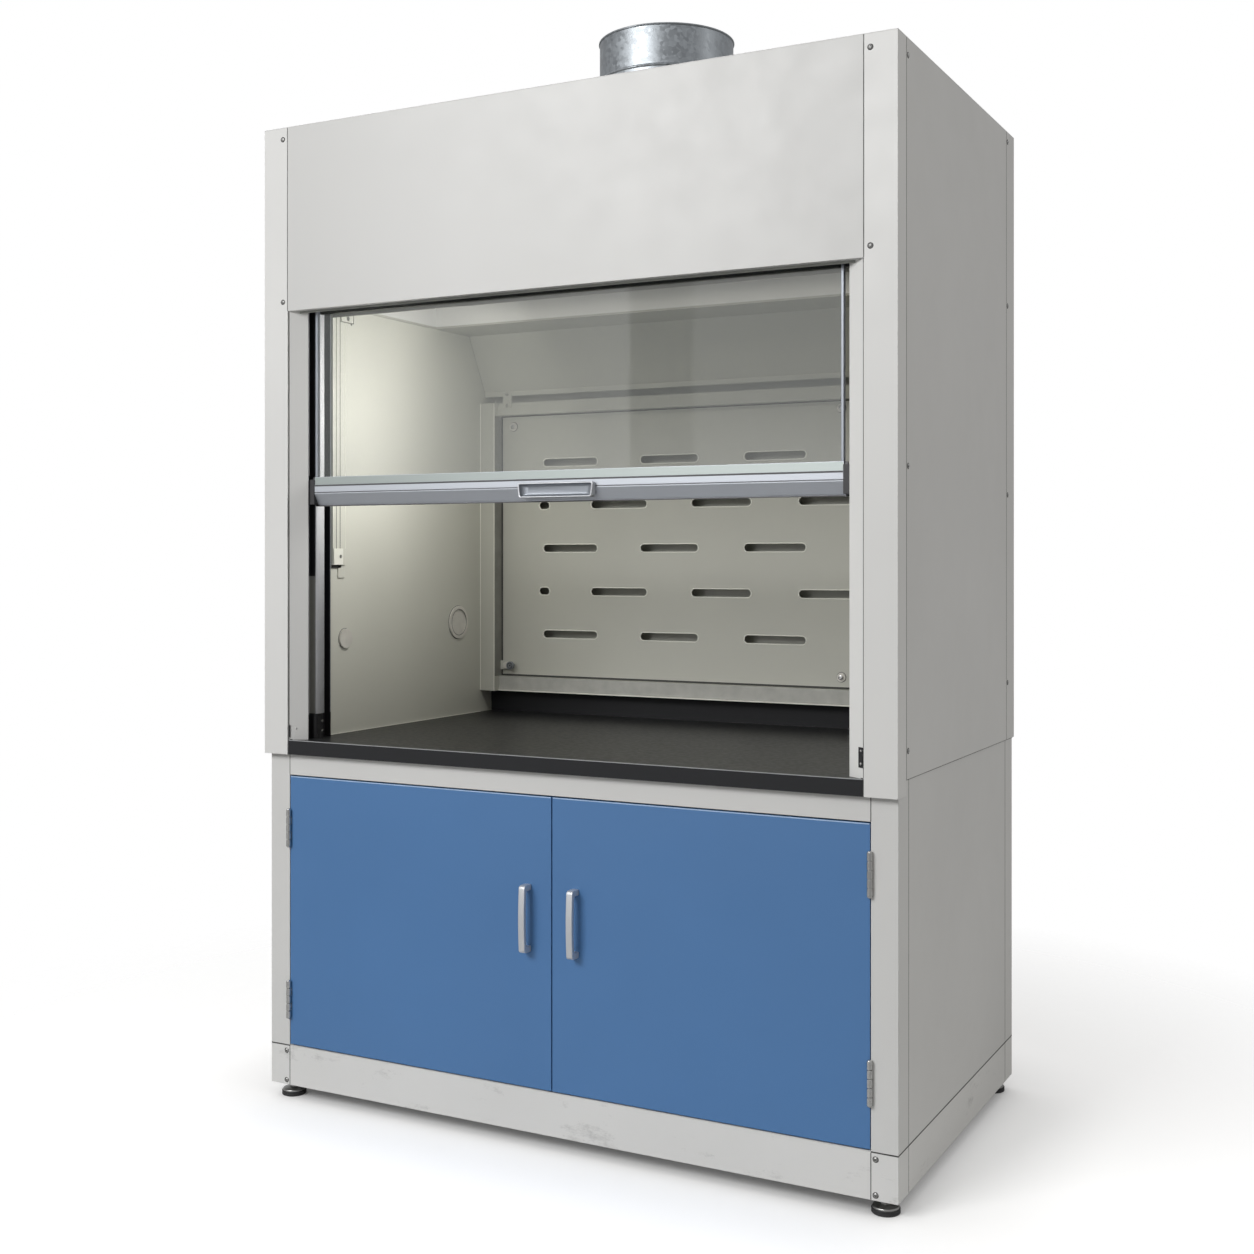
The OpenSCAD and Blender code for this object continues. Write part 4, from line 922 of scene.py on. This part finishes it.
def latch_knob():
    low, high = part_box("baffle_latch")
    middle = Vector((LATCH_X, low.y, LATCH_Z))
    back = (0, 1, 0)
    bm = bmesh.new()
    lathe(bm, [(0.0, 0.0012), (0.0022, 0.0012), (0.0028, 0.0004), (0.0056, 0.0004), (0.0062, 0.0018),
               (0.0076, 0.0018), (0.0082, 0.0002), (0.0104, 0.0004), (0.0110, 0.0014), (0.0110, 0.0070),
               (0.0100, 0.0080), (0, 0.0080)], middle, back, 40)
    stem, length = 0.0030, high.y - low.y
    lathe(bm, [(0.0, 0.0080), (stem, 0.0080), (stem, length), (0, length)], middle, back, 20)
    piece = add_piece("latch_knob", bm, "bright_steel", "baffle_latch", "stile_metal", smooth=True)
    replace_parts(piece, "baffle_latch")
    bm = bmesh.new()
    # Painted shade: dark rings in the knob's hollows
    for inner, outer, lift in ((0.0060, 0.0078, 0.0017), (0.0, 0.0021, 0.0011)):
        lathe(bm, [(inner, lift), (outer, lift)], middle, back, 32)
    add_piece("latch_groove_shade", bm, "bright_steel", "baffle_latch", "joint_shadow")


def latch_wing():
    # Upper half of the outline from the wing's tip to its root, measured from the knob's axis
    tip_to_root = [(-0.0258, 0.0058), (-0.0180, 0.0092), (-0.0080, 0.0096), (-0.0030, 0.0050)]
    outline = [(u, -v) for u, v in tip_to_root] + tip_to_root[::-1]
    bm = bmesh.new()
    faces = loft(bm, [[at(LATCH_X + u, d, LATCH_Z + v) for u, v in outline] for d in (0.7840, 0.7962)])
    bm.faces.new(faces[0])
    bm.faces.new(list(reversed(faces[1])))
    bmesh.ops.recalc_face_normals(bm, faces=bm.faces)
    rounded(bm, 0.0008)
    wing = add_piece("latch_wing", bm, "bright_steel", "baffle_latch", "white_plastic", smooth=True)
    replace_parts(wing, "baffle_latch")


# Light, floor and background

def area_light(name, place, target, size, power, colour=(1, 1, 1), mirrored=True, spread_deg=180):
    data = bpy.data.lights.new(name, "AREA")
    data.shape = "RECTANGLE"
    data.size, data.size_y = size
    data.energy = power
    data.color = colour
    data.spread = math.radians(spread_deg)
    light = bpy.data.objects.new(name, data)
    light.location = place
    light.rotation_euler = (Vector(target) - Vector(place)).to_track_quat("-Z", "Y").to_euler()
    light.visible_camera = False
    light.visible_transmission = False
    light.visible_glossy = mirrored
    bpy.context.collection.objects.link(light)


def light_scene():
    area_light("key", (-1.7, -5.4, 3.95), (0, 0, 1.1), (3.0, 2.2), 236)
    area_light("side fill", (5.0, -0.5, 1.5), (0.7, 0, 1.2), (3.0, 3.0), 40, (1.0, 0.985, 0.955),
               mirrored=False)
    lens_low, lens_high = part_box("lamp_lens")
    middle = (lens_low + lens_high) / 2
    area_light("hood lamp", (0, middle.y, lens_low.z - 0.004), (0, middle.y, 0), (1.1, 0.10), 0.7,
               (1.0, 0.97, 0.90), mirrored=False)
    area_light("lamp spill", at(-0.20, 0.19, 1.64), at(-0.66, 0.20, 1.50), (0.16, 0.20), 2.2,
               (1.0, 0.99, 0.96), mirrored=False, spread_deg=150)


def reflection_card(name, left, right, strength, start=None):
    """Soft box seen only in reflections: an upright panel in front of the hood, between two widths, with its
    strength rising from start where that is given."""
    foot, top, in_front = 0.2, 3.3, -4.4
    corners = [at(x, in_front, z) for x, z in ((left, foot), (right, foot), (right, top), (left, top))]
    show_card(name, corners, strength, (left, right, start) if start else None)


def show_card(name, corners, strength, rise=None):
    """Glowing panel seen only in reflections. rise gives two widths and the strength at the first of them."""
    bm = bmesh.new()
    bm.faces.new([bm.verts.new(corner) for corner in corners])
    mesh = bpy.data.meshes.new(name)
    bm.to_mesh(mesh)
    bm.free()
    card = bpy.data.objects.new(name, mesh)
    bpy.context.collection.objects.link(card)
    material, tree, _ = new_material(name)
    glow = node(tree, "ShaderNodeEmission", Strength=strength)
    if rise:
        level = spread(tree, place_mask(tree, "X", rise[0], rise[1]), 0.0, 1.0, rise[2], strength)
        tree.links.new(level, glow.inputs["Strength"])
    tree.links.new(glow.outputs[0], tree.nodes["Material Output"].inputs["Surface"])
    mesh.materials.append(material)
    card.visible_camera = card.visible_diffuse = card.visible_transmission = card.visible_shadow = False


def white_world():
    """Soft light all round: white to the eye and behind glass, greyer in reflections, dimmer as light."""
    world = bpy.data.worlds.new("studio")
    world.use_nodes = True
    bpy.context.scene.world = world
    tree = world.node_tree
    background = tree.nodes["Background"]
    rays = tree.nodes.new("ShaderNodeLightPath")
    seen = tree.nodes.new("ShaderNodeMath")
    seen.operation = "MAXIMUM"
    tree.links.new(rays.outputs["Is Camera Ray"], seen.inputs[0])
    tree.links.new(rays.outputs["Is Transmission Ray"], seen.inputs[1])
    coords = tree.nodes.new("ShaderNodeTexCoord")
    heights = tree.nodes.new("ShaderNodeSeparateXYZ")
    tree.links.new(coords.outputs["Generated"], heights.inputs[0])
    mirrored = ramp(tree, spread(tree, heights.outputs["Z"], -1.0, 1.0, 0.0, 1.0), [
        (0.0, (0.34, 0.34, 0.34)), (0.5, (0.36, 0.36, 0.36)), (0.62, (0.50, 0.50, 0.51)),
        (1.0, (0.70, 0.70, 0.72))])
    plain = mix(tree, rays.outputs["Is Glossy Ray"], (0.275, 0.270, 0.262), mirrored)
    tree.links.new(mix(tree, seen.outputs[0], plain, (1.0, 1.0, 1.0)), background.inputs["Color"])


def add_floor():
    """Pale floor that fades into the white background away from the object, with a painted contact shadow
    near it.
    """
    bpy.ops.mesh.primitive_plane_add(size=16, location=(0, 0, 0))
    floor = bpy.context.object
    floor.name = "floor"
    material, tree, shader = new_material("floor")
    shader.inputs["Base Color"].default_value = (0.78, 0.78, 0.78, 1)
    shader.inputs["Roughness"].default_value = 0.9
    shader.inputs["Specular IOR Level"].default_value = 0.0
    rays = tree.nodes.new("ShaderNodeLightPath")
    shader.inputs["Emission Color"].default_value = (1, 1, 1, 1)
    # Painted contact shadow: the floor's extra brightness for camera rays dims with ambient occlusion near
    # the object
    contact_shade = node(tree, "ShaderNodeAmbientOcclusion", Distance=0.30)
    contact_shade.samples = 8
    glow = tree.nodes.new("ShaderNodeMath")
    glow.operation = "MULTIPLY"
    tree.links.new(spread(tree, rays.outputs["Is Camera Ray"], 0.0, 1.0, 0.0, 0.57), glow.inputs[0])
    tree.links.new(contact_shade.outputs["AO"], glow.inputs[1])
    tree.links.new(glow.outputs[0], shader.inputs["Emission Strength"])
    coords = tree.nodes.new("ShaderNodeTexCoord")
    distance = tree.nodes.new("ShaderNodeVectorMath")
    distance.operation = "LENGTH"
    tree.links.new(coords.outputs["Object"], distance.inputs[0])
    fade = spread(tree, distance.outputs["Value"], 1.1, 2.1, 0.0, 1.0)
    clear = tree.nodes.new("ShaderNodeBsdfTransparent")
    blend = tree.nodes.new("ShaderNodeMixShader")
    tree.links.new(fade, blend.inputs["Fac"])
    tree.links.new(shader.outputs["BSDF"], blend.inputs[1])
    tree.links.new(clear.outputs["BSDF"], blend.inputs[2])
    tree.links.new(blend.outputs["Shader"], tree.nodes["Material Output"].inputs["Surface"])
    floor.data.materials.append(material)


def dress_hood():
    for hand in ("left", "right"):
        bow_handle(hand)
    panel_screws()
    pull_frame()
    stile_bars()
    rail_bands()
    track_noses()
    slot_rim_highlights()
    latch_knob()
    latch_wing()
    fitting_outlines()
    for corner in ("front_left", "front_right", "rear_left", "rear_right"):
        levelling_foot(f"{corner}_foot")
    barrel_hinge("hinge_frame_halves", "root", (0, 2, 4))
    for hand in ("left", "right"):
        barrel_hinge(f"{hand}_door_hinges", f"{hand}_door", (1, 3))
    joint_lines()
    trim_edges()
    frame_shade()
    long_edges()
    for hand in ("left", "right"):
        door_edge(hand)
    jamb_brackets()
    small_screws()


def set_stage():
    light_scene()
    reflection_card("card_left", -4.30, -2.155, 2.0, start=0.9)
    reflection_card("card_middle", -2.155, -1.79, 1.15)
    reflection_card("card_right", -1.79, -0.40, 1.55)
    beside_collar = [Vector((5.0, y, z)) for y, z in ((0.2, 2.9), (1.9, 2.9), (1.9, 5.0), (0.2, 5.0))]
    show_card("card_collar", beside_collar, 2.2)
    white_world()
    add_floor()


add_camera()
bpy.context.scene.view_settings.view_transform = "Standard"
dress_frame()
dress_hood()
set_stage()
